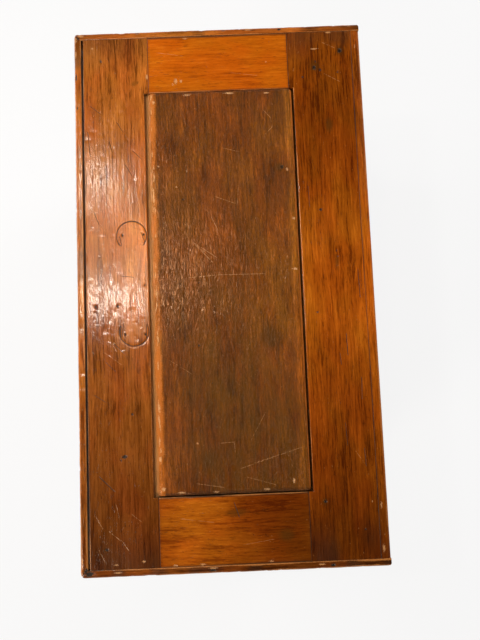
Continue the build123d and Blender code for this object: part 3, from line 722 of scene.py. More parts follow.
def makeStile(name, node, stile, inward, look, material):
    # the stile's outlines carried along X; the back one's upper edge also falls by a distance squared
    places = stations(stile.x0, stile.x1, lid["step"], (leftRail.x1, rightRail.x0), look.get("fine", ()))
    corners, radii = stileLoops(places, stile, inward, look)
    spans = [6, look["outerSpans"], look["innerSpans"], 4, 1, 1, 1, 1, 1, 12]
    loops = carriedLoop(corners, radii, 4, spans)
    if "backRound" in look:
        width, fall = look["backRound"]
        out = np.clip((loops[..., 0] - (stile.y1 - width)) / width, 0, 1)
        loops[..., 1] -= fall * out**2 * smooth(lidTop - 6, lidTop - 0.5, loops[..., 1])
    piece = closedSkin(name, ringPoints(places, loops, 0))
    settle(piece, look, 0)
    cutRecesses(piece, look["recesses"])
    return dress(piece, material, node)


def stops(places, along):
    # a value read off straight lines between the given (place, value) stops
    return np.interp(along, [p for p, _ in places], [v for _, v in places])


def seamsAt(y):
    # the dark lines of the two joints between a stile and the rails' ends
    return ((frontStile.x0, y, leftRail.x1, y, lid["seam"]), (rightRail.x0, y, frontStile.x1, y, lid["seam"]))


frontSeams = seamsAt(frontStile.y1)
backSeams = seamsAt(backStile.y0)


def frontTone(x, y):
    # bright on the left, dark on the right, and lighter near the panel between them
    run = stops([
        (-480, 0.94), (-440, 1.10), (-350, 0.92), (-200, 0.92), (-40, 0.88),
        (60, 0.84), (150, 0.70), (300, 0.42), (400, 0.34), (480, 0.31),
    ], x)
    inner = smooth(-190, -165, y) * smooth(-170, -90, x) * smooth(170, 60, x)
    return run * (1 + 0.35 * inner + 0.2 * smooth(-160, -142, y) * smooth(420, 300, x))


def backTone(x, y):
    # brightest in the middle, with a light worn back edge
    run = stops([
        (-480, 0.82), (-440, 0.78), (-300, 0.58), (-200, 0.78), (-60, 1.14),
        (60, 1.12), (200, 0.80), (330, 0.62), (440, 0.35), (480, 0.32),
    ], x)
    return run * (1 + 0.42 * smooth(248, 257, y) + 0.1 * smooth(175, 150, y))


frontLook = {
    "seed": 11,
    "top": lidTop,
    "denseFrom": -206.0,  # the grid is finer from this Y to the valley
    "outerSpans": 20,
    "innerSpans": 44,
    "outerRound": 1.6,
    "fine": ((-140, -68), (48, 108)),  # finer stretches along X, at the rings
    "arrises": (
        (frontStile.y0, lidTop, -500, 500, 1.0),
        (frontStile.y1 - lid["valley"], lidTop, leftRail.x1, rightRail.x0, 1.0),
    ),
    "tone": frontTone,
    # dust in the valley, and painted light: it lightens the lip wall and valley below the top, which lie in
    # shade
    "dust": lambda x, y, z: 0.8 * smooth(lidTop - 2, lidTop - 4, z) * smooth(-142, -139, y),
    "rings": ((-104, -169, 27.5, 1.25, -1, 122), (72, -168, 26.5, 1.15, 1, 108)),
    "holes": (
        (-106, -186, 3.2, 2.2), (-106, -147, 2.8, 2.0), (77, -184, 3.0, 2.0), (78, -148, 3.0, 2.2),
        (25, -237, 3.8, 2.8), (25, -197, 3.8, 2.8), (35, -239, 2.0, 1.6), (294, -190, 3.6, 5.5),
        (220, -175, 2.4, 2.4), (452, -224, 2.6, 3.6), (-442, -220, 2.6, 2.2), (-12, -147, 2.2, 1.8),
        (300, -196, 2.0, 2.2), (-66, -228, 1.8, 1.6),
    ),
    "knots": ((-395, -160, 9, 8), (-442, -222, 9, 6), (452, -226, 8, 8), (-398, -152, 5, 4)),
    "chips": (
        (-408, -134, 6, 3), (474, -160, 2.4, 4), (478, -208, 2, 5), (-468, -236, 2.4, 3), (92, -205, 2, 3),
    ),
    "cracks": frontSeams + (
        (-106, -150, -92, -145, 0.9), (-100, -190, -90, -188, 0.8), (66, -146, 84, -146, 0.9),
        (62, -188, 80, -190, 0.8), (330, -232, 350, -212, 0.9), (95, -203, 108, -190, 0.8),
        (-300, -246, -262, -243, 0.7), (-352, -238, -342, -226, 0.6), (-318, -190, -306, -183, 0.6),
        (-282, -206, -268, -202, 0.6), (-236, -176, -222, -168, 0.6), (-262, -160, -252, -150, 0.6),
        (-148, -236, -132, -230, 0.6), (-30, -186, -28, -172, 0.5), (128, -218, 140, -206, 0.6),
        (186, -238, 194, -226, 0.6),
    ),
    "scratches": (
        (-250, -180, -228, -170, 0.8), (-140, -235, -118, -220, 0.8), (110, -220, 128, -196, 0.8),
        (86, -212, 104, -202, 0.9), (-20, -226, 4, -224, 0.7), (400, -240, 414, -232, 0.7),
        (424, -216, 434, -204, 0.7), (440, -196, 452, -188, 0.7), (396, -176, 404, -166, 0.6),
        (456, -236, 468, -230, 0.7), (380, -206, 396, -202, 0.6),
    ),
    "grimeAndShade": lambda x, y, z: np.maximum.reduce([
        0.55 * smooth(-251.0, -253.6, y),
        # painted shade: darker down the lip wall beside the panel, the deeper the darker
        0.25 * smooth(lidTop - 1.2, lidTop - 4, z) * smooth(-142, -138, y),
        0.35 * smooth(400, 485, np.abs(x)),
    ]),
}
backLook = {
    "seed": 23,
    "top": lidTop,
    "denseFrom": 200.0,
    "outerSpans": 30,
    "innerSpans": 26,
    "outerRound": 1.2,
    "backRound": (15.0, 3.6),  # width and fall of the worn back edge
    "arrises": (
        (backStile.y1 - 1, lidTop - 4, -500, 500, 0.5),
        (backStile.y0 + lid["valley"], lidTop, leftRail.x1, rightRail.x0, 1.0),
    ),
    "tone": backTone,
    "holes": (
        (-415, 183, 5.0, 3.4), (-410, 194, 3.4, 2.6), (-447, 233, 5.0, 4.0), (-397, 160, 2.6, 2.2),
        (-405, 227, 2.6, 2.2), (-140, 181, 3.0, 3.4), (-62, 206, 2.2, 1.8), (-52, 208, 2.6, 2.0),
        (50, 165, 2.0, 3.0), (-427, 186, 2.6, 2.0), (385, 162, 3.0, 3.4), (435, 230, 2.4, 2.2),
        (-34, 204, 1.8, 1.6), (-120, 176, 1.8, 1.6),
    ),
    "knots": (
        (-418, 186, 13, 10), (-447, 232, 12, 9), (385, 160, 10, 7), (-300, 205, 16, 9), (-40, 206, 16, 5),
    ),
    "chips": (
        (-452, 184, 2, 8), (-484, 213, 2, 6), (-455, 263, 7, 2), (395, 260, 7, 2.4), (468, 260, 8, 3),
        (446, 264, 4, 3), (388, 244, 2, 2),
    ),
    "cracks": backSeams + (
        (backStile.x0, 255, -120, 254, 0.6), (-120, 254, 210, 255, 0.5), (210, 255, backStile.x1, 254, 0.6),
        (-22, 243, 22, 244, 0.9), (95, 215, 125, 216, 0.9), (130, 202, 142, 203, 0.8),
        (175, 238, 205, 237, 0.7), (-180, 160, -150, 161, 0.7), (255, 205, 285, 206, 0.7),
        (300, 236, 322, 237, 0.8),
    ),
    "scratches": ((-400, 205, -388, 226, 0.8), (300, 220, 318, 232, 0.7), (-462, 205, -455, 219, 0.9)),
    "grimeAndShade": lambda x, y, z: np.maximum.reduce([
        0.3 * smooth(251.0, 254.0, y) * smooth(259.0, 256.0, y),
        # painted shade: darker down the valley wall beside the panel, the deeper the darker
        0.8 * smooth(lidTop - 1.2, lidTop - 4, z) * smooth(143, 140, y),
        0.5 * smooth(400, 486, np.abs(x)) * smooth(0.35, 0.8, softNoise(x, y, 60, 40, 5)),
    ]),
}
strikePlate = Place("lock_strike")
frontLook["recesses"] = [boxCutter(strikePlate, lidUnder - 1, strikePlate.z1)]
backLook["recesses"] = []
for side in ("left", "right"):
    # an upper leaf's recess ends at the pin's axis, where the barrel's begins
    leaf, pin = Place(f"hinge_{side}_upper_leaf"), Place(f"hinge_{side}_pin")
    leaf.y1 = (pin.y0 + pin.y1) / 2
    backLook["recesses"] += [boxCutter(leaf, lidUnder - 1, leaf.z1), barrelCutter(pin)]
frontPine = finishOf("pineFrontStile", seed=3, ridge=0.26, rough=0.15, bare=lidUnderside)
backPine = finishOf(
    "pineBackStile", seed=7, base=rgb(0.30, 0.068, 0.003), bright=rgb(0.46, 0.115, 0.006),
    deep=rgb(0.120, 0.022, 0.001), stains=0.6, bare=lidUnderside,
)
makeStile("lidFrontStile", "lid_front_stile", frontStile, 1, frontLook, frontPine)
makeStile("lidBackStile", "lid_back_stile", backStile, -1, backLook, backPine)
print("stiles made")


def makeRail(name, node, rail, inward, look, material):
    # a rail's outline in (x, z) carried along Y, narrowing to its tenon past each shoulder line
    outer = rail.x0 if inward > 0 else rail.x1
    edge = rail.x1 if inward > 0 else rail.x0
    depth = edge - inward * lid["grooveDepth"]
    haunch = outer + inward * lid["haunch"]
    places = stations(rail.y0, rail.y1, lid["step"], (frontStile.y1, backStile.y0))
    zone = zoneOf(places, frontStile.y1, backStile.y0)
    tenon = [(haunch, grooveLow), (haunch, grooveHigh)]
    tenon += [(depth - inward * back, grooveHigh) for back in (0.6, 0.4, 0.2, 0)]
    tenon += [(depth, grooveHigh - 2), (depth, grooveLow)]
    whole = [
        (outer, lidUnder), (outer, lidTop), (edge, lidTop), (edge, grooveHigh),
        (depth, grooveHigh), (depth, grooveLow), (edge, grooveLow), (edge, lidUnder),
    ]
    corners = loopCorners(tenon, whole, zone)
    radii = np.zeros(corners.shape[:2])
    radii[:, 1] = zone * 0.8
    radii[:, 2] = zone * (0.8 + 0.6 * wearAlong(places, 30, look["seed"]))
    loops = carriedLoop(corners, radii, 4, [6, 46, 1, 1, 1, 1, 1, 10])
    piece = closedSkin(name, ringPoints(places, loops, 1))
    settle(piece, look, 1)
    return dress(piece, material, node)


leftRailLook = {
    "seed": 31,
    "top": lidTop,
    "arrises": ((leftRail.x1, lidTop, frontStile.y1, backStile.y0, 1.0),),
    "tone": lambda x, y: 0.95 + 0.1 * softNoise(x, y, 60, 90, 3),
    "chips": ((-398, -80, 7, 3.5), (-398, -70, 4, 3), (-392, -86, 3, 2), (-482, -60, 2, 6), (-430, 92, 2, 2)),
    "holes": ((-470, 100, 1.6, 1.6), (-425, -20, 1.4, 1.4)),
    "cracks": (frontSeams[0], backSeams[0]),
    "scratches": ((-455, -110, -448, -70, 0.7), (-410, 30, -404, 70, 0.6)),
    "grimeAndShade": lambda x, y, z: np.maximum.reduce([
        0.8 * smooth(-480.5, -485.0, x),
        0.5 * smooth(-380.0, -376.6, x),
        0.3 * smooth(-126.5, -131.0, y),
        0.3 * smooth(129.0, 132.6, y),
    ]),
}
rightRailLook = {
    "seed": 37,
    "top": lidTop,
    "arrises": ((rightRail.x0, lidTop, frontStile.y1, backStile.y0, 1.0),),
    "tone": lambda x, y: stops([
        (-130, 0.95), (-90, 1.22), (-30, 1.08), (20, 0.66), (60, 0.46), (130, 0.38),
    ], y),
    "chips": ((483, -105, 2, 5), (483, -58, 2, 6), (482, 62, 2, 5)),
    "holes": ((420, 40, 1.6, 1.6),),
    "knots": ((398, 4, 8, 22), (440, 90, 12, 16)),
    "cracks": (frontSeams[1], backSeams[1], (384, 2, 402, 8, 0.8)),
    "scratches": ((405, -90, 412, -40, 0.7), (452, 20, 446, 64, 0.6)),
    "grimeAndShade": lambda x, y, z: np.maximum.reduce([
        0.8 * smooth(481.5, 485.5, x),
        0.9 * smooth(371.0, 367.4, x),
        0.3 * smooth(-126.5, -131.0, y),
        0.3 * smooth(129.0, 132.6, y),
    ]),
}
leftRailPine = finishOf(
    "pineLeftRail", seed=13, grain=1, base=rgb(0.48, 0.105, 0.003), bright=rgb(0.60, 0.150, 0.006),
    deep=rgb(0.290, 0.056, 0.002), stains=0.35, nicks=0.1, contrast=0.8, run=3.4, bare=lidUnderside,
)
rightRailPine = finishOf(
    "pineRightRail", seed=17, grain=1, base=rgb(0.36, 0.085, 0.004), bright=rgb(0.52, 0.140, 0.008),
    deep=rgb(0.190, 0.036, 0.002), stains=0.5, contrast=0.75, run=3.8, mottle=0.9, bare=lidUnderside,
)
makeRail("lidLeftRail", "lid_left_rail", leftRail, 1, leftRailLook, leftRailPine)
makeRail("lidRightRail", "lid_right_rail", rightRail, -1, rightRailLook, rightRailPine)
print("rails made")


# Raised panel
field = {
    "play": 0.3,  # between the tongue and its groove
    "frontGap": 6.0,
    "backGap": 4.0,
    "leftGap": 1.5,
    "rightGap": 3.0,
    "roundWidth": 12.0,
    "roundDrop": 5.5,
    "endRound": 1.5,
}
fieldFront = frontStile.y1 - lid["valley"] + field["frontGap"]
fieldBack = backStile.y0 + lid["valley"] - field["backGap"]
fieldLeft = leftRail.x1 + field["leftGap"]
fieldRight = rightRail.x0 - field["rightGap"]


def makePanel(look, material):
    # the panel's outline in (y, z): a tongue both sides and a field whose long edges fall away in an arc
    low, tongue, top = panelBox.z0, grooveHigh - field["play"], panelBox.z1
    brow = top - field["roundDrop"]
    rim = field["roundWidth"]
    places = stations(panelBox.x0, panelBox.x1, lid["step"], (fieldLeft, fieldRight))
    zone = zoneOf(places, fieldLeft, fieldRight)
    frontSide = [(panelBox.y0, low), (panelBox.y0, tongue)]
    backSide = [(panelBox.y1, tongue), (panelBox.y1, low)]
    across = [fieldFront, fieldFront + 1, fieldFront + rim, fieldBack - rim, fieldBack - 1, fieldBack]
    flat = [(y, tongue) for y in across]
    proud = [(fieldFront, tongue), (fieldFront, brow), (fieldFront + rim, top)]
    proud += [(fieldBack - rim, top), (fieldBack, brow), (fieldBack, tongue)]
    corners = loopCorners(frontSide + flat + backSide, frontSide + proud + backSide, zone)
    radii = np.zeros(corners.shape[:2])
    loops = carriedLoop(corners, radii, 1, [1, 2, 3, 9, 110, 9, 3, 2, 1, 12])
    y, z = loops[..., 0], loops[..., 1]
    radius = (rim**2 + field["roundDrop"] ** 2) / (2 * field["roundDrop"])
    out = np.maximum(fieldFront + rim - y, y - (fieldBack - rim)).clip(0, rim)
    arc = top - (radius - np.sqrt(radius**2 - out**2))
    onRim = (out > 0) & (z > tongue + 0.2) & (z > brow - 0.01) & (zone[:, None] > 0.5)
    loops[..., 1] = np.where(onRim, arc, z)
    piece = closedSkin("lidPanel", ringPoints(places, loops, 0))
    points = meshPoints(piece)
    ends = np.minimum(points[:, 0] - fieldLeft, fieldRight - points[:, 0])
    reach = field["endRound"] * (1.0 + 1.2 * wearAlong(points[:, 1], 18, look["seed"]))
    onEnd = smooth(tongue + 1, tongue + 3, points[:, 2]) * (ends >= -0.01)
    points[:, 2] -= onEnd * reach * smooth(reach * 1.6, 0, ends) * 0.9
    setPoints(piece, points)
    settle(piece, look, 0)
    return dress(piece, material, "lid_panel")


def panelTone(x, y):
    # lighter along both long rims, in the middle of the back and in the front right corner
    run = stops([(-374, 1.05), (-300, 1.2), (-150, 1.12), (50, 1.02), (200, 1.0), (364, 0.92)], x)
    backSide = 0.45 * smooth(30, 90, y) * smooth(-200, -80, x) * smooth(190, 60, x)
    frontRim = 0.9 * smooth(fieldFront + 19, fieldFront + 11, y)
    backRim = 0.8 * smooth(118, 128, y)
    corner = 0.3 * smooth(-90, -118, y) * smooth(160, 260, x)
    return run * (1 + backSide + frontRim + backRim + corner)


# small pale spots scattered along the panel's front rim: bare-wood rubs that also stand in for the highlight
# on its rounded edge, a painted highlight
glintRubs = np.random.default_rng(7)
glintRubCount = 48
glintRubX = glintRubs.uniform(fieldLeft + 4, fieldRight - 4, glintRubCount)
glintRubY = fieldFront + glintRubs.uniform(5.5, 9.5, glintRubCount)
glintRubSizes = (glintRubs.uniform(2, 11, glintRubCount), glintRubs.uniform(0.7, 1.6, glintRubCount))
glintRubSpots = np.column_stack((glintRubX, glintRubY, *glintRubSizes))
panelLook = {
    "seed": 41,
    "top": panelBox.z1 - 1.0,
    "relief": 0.8,
    "endEase": 0.0,
    "arrises": (
        (fieldFront + 9, lidTop, fieldLeft, fieldRight, 1.0),
        (fieldBack - 1, lidTop - 1, fieldLeft, fieldRight, 2.6),
    ),
    "tone": panelTone,
    "olive": lambda x, y, z: 0.4 * smooth(-120, 160, x) * smooth(115, 60, np.abs(y - 25)),
    "dust": lambda x, y, z: 0.9 * smooth(lidTop - 6, lidTop - 7, z) * smooth(-120, -128, y)
    + 0.35 * smooth(fieldFront + 6, fieldFront + 3, y) * smooth(fieldFront - 0.5, fieldFront, y),
    "holes": (
        (-223, 113, 4.2, 3.6), (102, -52, 3.0, 2.6), (-168, -72, 2.4, 2.6), (170, -30, 1.8, 1.8),
        (-12, -48, 1.8, 1.8),
    ),
    "knots": ((90, 75, 26, 22), (-223, 108, 9, 10), (305, -40, 24, 24)),
    "chips": (
        (-125, 131, 3, 5), (-31, 129, 2.4, 8), (346, 108, 6, 2.4), (300, -127, 5, 3),
        (-368, -60, 2, 9), (-369, 20, 2, 12), (-367, 90, 2, 7), (359, -90, 2, 9),
        (360, -30, 2, 6), (359, 60, 2, 7), (-192, -84, 1.8, 2.4), (275, -60, 1.8, 3),
        (-356, -122, 4, 3), (352, -122, 4, 4), (-232, -116, 2, 2), (-218, 122, 4, 2.4),
        # the pale rim spots: wear, and a painted highlight along the rounded front edge
        *glintRubSpots,
    ),
    "scratches": (
        (-22, -62, -25, -10, 0.75), (-25, -10, -24, 68, 0.7), (-80, -50, -52, -25, 1.0),
        (-84, -52, -60, -18, 0.6), (320, 20, 290, 120, 0.65), (312, 40, 300, 84, 0.5),
        (-330, 86, -318, 96, 0.7), (-318, 96, -300, 98, 0.7), (-300, 98, -290, 88, 0.6),
        (-170, -10, -158, 20, 0.6), (-185, 30, -160, 28, 0.6), (230, 60, 268, 38, 0.5),
        (276, -15, 275, 5, 0.6), (275, 5, 288, 6, 0.5), (130, -100, 150, -70, 0.5),
        (-262, 8, -256, 30, 0.6), (-130, -20, -112, -12, 0.6), (-5, -118, 30, -112, 0.7),
        (345, -60, 352, -20, 0.7), (338, 30, 350, 70, 0.6),
    ),
    "cracks": ((-300, -40, -262, -39, 0.5), (-210, 12, -176, 13, 0.5), (66, -76, 90, -76, 0.5)),
    "grimeAndShade": lambda x, y, z: np.maximum.reduce([
        # painted shade: darker down the field's front wall and the tongue in the gap, below the top
        0.9 * smooth(lidTop - 3, lidTop - 5, z) * smooth(-128, -120, y),
        0.45 * smooth(356.0, 363.5, x),
        0.25 * smooth(-366.0, -374.0, x),
        0.35 * smooth(133.0, 137.0, y),
    ]),
}
panelPine = finishOf(
    "pinePanel", seed=19, bare=panelUnderside, run=3.6, contrast=0.85, mottle=0.6,
    deep=rgb(0.058, 0.016, 0.002), base=rgb(0.140, 0.038, 0.003), bright=rgb(0.28, 0.076, 0.008),
    fleck=rgb(0.030, 0.009, 0.001), dust=rgb(0.60, 0.29, 0.10), raw=rgb(0.74, 0.41, 0.18),
    worn=rgb(0.56, 0.150, 0.015), wornShare=0.85, wearReach=7.5, nicks=0.3, rough=0.15,
    gloss=rgb(1.0, 0.62, 0.36), ridge=0.25, peel=0.14, wrinkle=0.38, crease=0.36, dents=0.3,
)
makePanel(panelLook, panelPine)
print("panel made")


# Lip mouldings
moulding = {
    "round": 6.0,
    "cove": 5.0,
    "arcSteps": 7,
    "step": 3.0,
    "mitreRun": 60.0,  # an end piece's grid is even again this far from its mitre
    "mitreShare": 0.9,  # and the front piece's inside this share of its half length
    "bruise": 0.8,
}


def mouldingLoop(places, face, inward, low, seed):
    # a lip moulding's section: worn round at the top, a flat face and a cove at its lower edge
    inner = face + inward * lid["mouldingWidth"]
    cove = moulding["cove"]
    corners = [
        (inner, low), (inner, lidTop), (face, lidTop), (face, low + cove),
        (face + inward * cove * 0.3, low + cove), (face + inward * cove, low + cove * 0.3),
        (face + inward * cove, low),
    ]
    corners = np.broadcast_to(np.array(corners), (len(places), len(corners), 2)).copy()
    radii = np.zeros(corners.shape[:2])
    worn = wearAlong(places, 55, seed) * 0.7 + wearAlong(places, 14, seed + 1) * 0.5
    radii[:, 1] = 1.0 + 0.8 * worn
    radii[:, 2] = moulding["round"] * (0.9 + 0.8 * worn)
    return carriedLoop(corners, radii, moulding["arcSteps"], [8, 3, 4, 1, 3, 1, 3])


def wearCorners(points):
    # pulls what sticks out past the worn corners back to their arcs, seen from above
    for radius, cornerY, side in (
        (lid["frontCorner"], frontMoulding.y0, 1),
        (lid["backCorner"], backStile.y1, -1),
    ):
        x, y = points[..., 0], points[..., 1]
        centreX, centreY = leftMoulding.x0 + radius, cornerY + side * radius
        outX, outY = np.abs(x) + centreX, (centreY - y) * side
        out = np.hypot(outX, outY)
        past = (outX > 0) & (outY > 0) & (out > radius)
        share = np.where(past, radius / np.maximum(out, 1e-9), 1.0)
        points[..., 0] = np.where(past, np.sign(x) * (outX * share - centreX), x)
        points[..., 1] = np.where(past, centreY - side * outY * share, y)
    return points


def nibble(points, seed):
    # shallow bruises along the outer edges, pressed inwards
    x, y, z = points[..., 0], points[..., 1], points[..., 2]
    half, inner = -leftMoulding.x0, -leftMoulding.x1
    along = np.where(np.abs(x) > inner, y, x)
    depth = 0.7 * smooth(0.72, 0.92, softNoise(along, z, 13, 7, seed))
    depth += 0.5 * smooth(0.75, 0.95, softNoise(along, z, 5, 4, seed + 1))
    depth *= smooth(lidTop - 16, lidTop - 3, z)
    points[..., 2] -= depth * moulding["bruise"]
    points[..., 0] *= 1 - depth * (np.abs(x) > inner + 4) / half
    points[..., 1] += depth * (y < frontMoulding.y0 + 9) * moulding["bruise"]
    return points


def makeMoulding(name, node, box, axis, side, look, material):
    # the section carried along the box, its grid sheared near a mitre so that the end follows it
    low, high = (box.x0, box.x1) if axis == 0 else (box.y0, box.y1)
    places = stations(low, high, moulding["step"])
    halfLength = -leftMoulding.x0
    face = box.y0 if axis == 0 else side * halfLength
    inward = 1 if axis == 0 else -side
    loops = mouldingLoop(places, face, inward, box.z0, look["seed"])
    points = ringPoints(places, loops, axis)
    depth = np.abs(loops[..., 0] - face)
    if axis == 0:
        share = (places / places.max())[:, None]
        straight = np.abs(share) * halfLength
        mitred = halfLength - lid["mitreGap"] - depth
        mitreShare = moulding["mitreShare"]
        ends = np.clip((np.abs(share) - mitreShare) / (1 - mitreShare), 0, 1)
        points[..., 0] = np.sign(share) * (straight * (1 - ends) + mitred * ends)
    else:
        run = moulding["mitreRun"]
        start = frontMoulding.y0 + depth
        share = np.clip((places - low) / run, 0, 1)[:, None]
        points[..., 1] = np.where(share < 1, start * (1 - share) + (low + run) * share, points[..., 1])
    piece = closedSkin(name, nibble(wearCorners(points), look["seed"]))
    settle(piece, look, axis)
    return dress(piece, material, node)


def mouldingLook(seed, arrises, tone, grimeAndShade, **marks):
    # what settle needs for a moulding; its relief is shallow and its ends stay flat for the mitre
    look = {"seed": seed, "top": lidTop, "arrises": arrises, "tone": tone, "grimeAndShade": grimeAndShade}
    return {**look, "relief": 0.7, "endEase": 0.0, **marks}


def smudge(along, z, cell, seed, low=0.6, high=0.95):
    # patches of dirt where a soft noise is high
    return smooth(low, high, softNoise(along, z, cell, 12, seed))


frontMouldingLook = mouldingLook(
    51,
    ((frontMoulding.y0 + 2, lidTop - 2, -500, 500, 1.0), (frontMoulding.y1, lidTop, -500, 500, 1.0)),
    lambda x, y: stops([(-500, 0.4), (-440, 0.7), (-300, 1.0), (60, 1.05), (200, 0.75), (500, 0.65)], x),
    lambda x, y, z: np.maximum(0.7 * smooth(-258.6, -257.5, y), 0.4 * smudge(x, z, 34, 8)),
    holes=(
        (-412, -268, 9, 3), (-352, -266, 4, 2.6), (-492, -262, 6, 4), (30, -270, 7, 2.4),
        (488, -260, 7, 5),
    ),
    chips=(
        (-486, -268, 7, 3), (-458, -268, 9, 2.6), (-300, -269, 14, 2.4), (-240, -270, 10, 2),
        (470, -268, 8, 3),
    ),
)
leftMouldingLook = mouldingLook(
    57,
    ((leftMoulding.x0 + 2, lidTop - 2, -272, 272, 1.0), (leftMoulding.x1, lidTop, -272, 272, 1.0)),
    lambda x, y: stops([(-271, 0.4), (-200, 0.85), (150, 0.88), (271, 0.4)], y),
    lambda x, y, z: np.maximum(0.8 * smooth(-487.4, -486.2, x), 0.4 * smudge(y, z, 30, 9)),
    holes=((-497, 14, 3, 7), (-496, -150, 2.4, 6), (-494, 120, 3, 4)),
    chips=((-495, -258, 4, 7), (-497, 250, 3, 8), (-496, 60, 2.6, 12)),
)
rightMouldingLook = mouldingLook(
    61,
    ((-leftMoulding.x0 - 2, lidTop - 2, -272, 272, 1.0), (-leftMoulding.x1, lidTop, -272, 272, 1.0)),
    lambda x, y: stops([(-271, 0.35), (-150, 0.6), (40, 0.4), (271, 0.25)], y),
    lambda x, y, z: np.maximum(0.8 * smooth(487.4, 486.2, x), 0.5 * smudge(y, z, 34, 10, 0.55, 0.9)),
    holes=((492, -255, 5, 8), (494, -40, 3, 6), (493, 170, 3, 5)),
    chips=((491, -205, 2, 8), (490, -40, 2, 9), (491, 150, 2, 7)),
)
mouldingWear = {"stains": 0.8, "nicks": 0.35, "wearReach": 2.6, "mottle": 1.1}
frontMouldingPine = finishOf("pineFrontMoulding", seed=29, **mouldingWear)
endMouldingPine = finishOf("pineEndMoulding", seed=31, grain=1, **mouldingWear)
rightMoulding = Place("lid_right_moulding")
for name, node, box, axis, side, look, material in (
    ("lidFrontMoulding", "lid_front_moulding", frontMoulding, 0, -1, frontMouldingLook, frontMouldingPine),
    ("lidLeftMoulding", "lid_left_moulding", leftMoulding, 1, -1, leftMouldingLook, endMouldingPine),
    ("lidRightMoulding", "lid_right_moulding", rightMoulding, 1, 1, rightMouldingLook, endMouldingPine),
):
    makeMoulding(name, node, box, axis, side, look, material)
print("mouldings made")


# Case, feet and till: the construction's own forms with their arrises eased


def easedPiece(node, width, material, edgeMaterial):
    # the node's faces merged into flats, then every sharp edge rounded by a small bevel with a worn finish
    form = bmesh.new()
    form.from_mesh(nodes[node].data)
    bmesh.ops.remove_doubles(form, verts=form.verts, dist=2e-6)
    bmesh.ops.dissolve_limit(form, angle_limit=math.radians(1.0), verts=form.verts, edges=form.edges)
    form.verts.index_update()
    corners = [tuple(v.co) for v in form.verts]
    faces = [[v.index for v in face.verts] for face in form.faces]
    form.free()
    mesh = bpy.data.meshes.new(node + ".eased")
    mesh.from_pydata(corners, [], faces)
    piece = newPiece(node + ".eased", mesh, 30)
    ease = piece.modifiers.new("ease", "BEVEL")
    ease.width = width / 1000
    ease.segments = 2
    ease.limit_method = "ANGLE"
    ease.angle_limit = math.radians(40)
    ease.harden_normals = False
    ease.material = 1
    dress(piece, material, node)
    piece.data.materials.append(edgeMaterial)
    return piece


wallX = Place("left_end_board").x1 / 1000
wallFront = Place("front_board").y1 / 1000
wallBack = Place("back_board").y0 / 1000
rimHeight = Place("front_board").z1 / 1000
skin = 0.0006  # the bare inside reaches this far into the boards, so that their faces lie in it
interior = ((wallX - skin, wallFront - skin, 0.0), (skin - wallX, wallBack + skin, rimHeight - 0.0002))
everywhere = ((-9.0, -9.0, -9.0), (9.0, 9.0, 9.0))
caseLook = {
    "marked": False,
    "deep": rgb(0.090, 0.022, 0.002),
    "base": rgb(0.23, 0.062, 0.006),
    "bright": rgb(0.38, 0.112, 0.012),
    "stains": 0.5,
    "rough": 0.32,
    "wander": 0.03,
    "bare": interior,
    "endGrain": True,
}
wornColours = {
    "deep": rgb(0.20, 0.055, 0.008),
    "base": rgb(0.36, 0.11, 0.018),
    "bright": rgb(0.55, 0.20, 0.045),
}
eases = {  # width of the worn arris in millimetres
    "board": 0.7,
    "moulding": 0.9,
    "foot": 1.2,
    "block": 1.0,
    "plank": 0.6,
    "tillFront": 0.8,
}


def casePine(name, seed, grain=0, **changes):
    # the case's duller pine, bare inside and showing end grain
    return finishOf(name, **{**caseLook, "seed": seed, "grain": grain, **changes})


longPine = casePine("pineCaseLong", 43)
shortPine = casePine("pineCaseShort", 47, 1)
wornLong = casePine("pineWornLong", 53, 0, **wornColours)
wornShort = casePine("pineWornShort", 59, 1, **wornColours)
trimLong = casePine("pineTrimLong", 61, 0)
trimShort = casePine("pineTrimShort", 67, 1)
barePine = casePine("pineBareLong", 71, 0, bare=everywhere, endGrain=False)
bareShort = casePine("pineBareShort", 73, 1, bare=everywhere, endGrain=False)
bareBlock = casePine("pineBareBlock", 79, 2, bare=everywhere, endGrain=True)

for node in ("front_board", "back_board"):
    easedPiece(node, eases["board"], longPine, wornLong)
for node in ("left_end_board", "right_end_board"):
    easedPiece(node, eases["board"], shortPine, wornShort)
easedPiece("base_moulding_front", eases["moulding"], trimLong, wornLong)
for node in ("base_moulding_left", "base_moulding_right"):
    easedPiece(node, eases["moulding"], trimShort, wornShort)
for side in ("left", "right"):
    easedPiece(f"foot_front_{side}_face", eases["foot"], trimLong, wornLong)
    easedPiece(f"foot_back_{side}_brace", eases["foot"], trimLong, wornLong)
    for end in ("front", "back"):
        easedPiece(f"foot_{end}_{side}_side", eases["foot"], trimShort, wornShort)
    for end in ("front", "back"):
        easedPiece(f"foot_{end}_{side}_block", eases["block"], bareBlock, bareBlock)
for i in (1, 2, 3):
    easedPiece(f"bottom_plank_{i}", eases["plank"], barePine, barePine)
easedPiece("till_front", eases["tillFront"], bareShort, bareShort)
easedPiece("till_bottom", eases["plank"], bareShort, bareShort)
print("case made")

hingeIron = ironFinish("ironHinge", iron)
lockIron = ironFinish("ironLock", {**iron, "rustFrom": 0.54})
nailIron = ironFinish("ironNail", {**iron, "rustFrom": 0.44})
ironFor = {"hinge_iron": hingeIron, "lock_iron": lockIron, "fastener_iron": nailIron}
for node, slot in slotOf.items():
    if slot in ironFor:
        nodes[node].data.materials.clear()
        nodes[node].data.materials.append(ironFor[slot])
print("iron dressed")


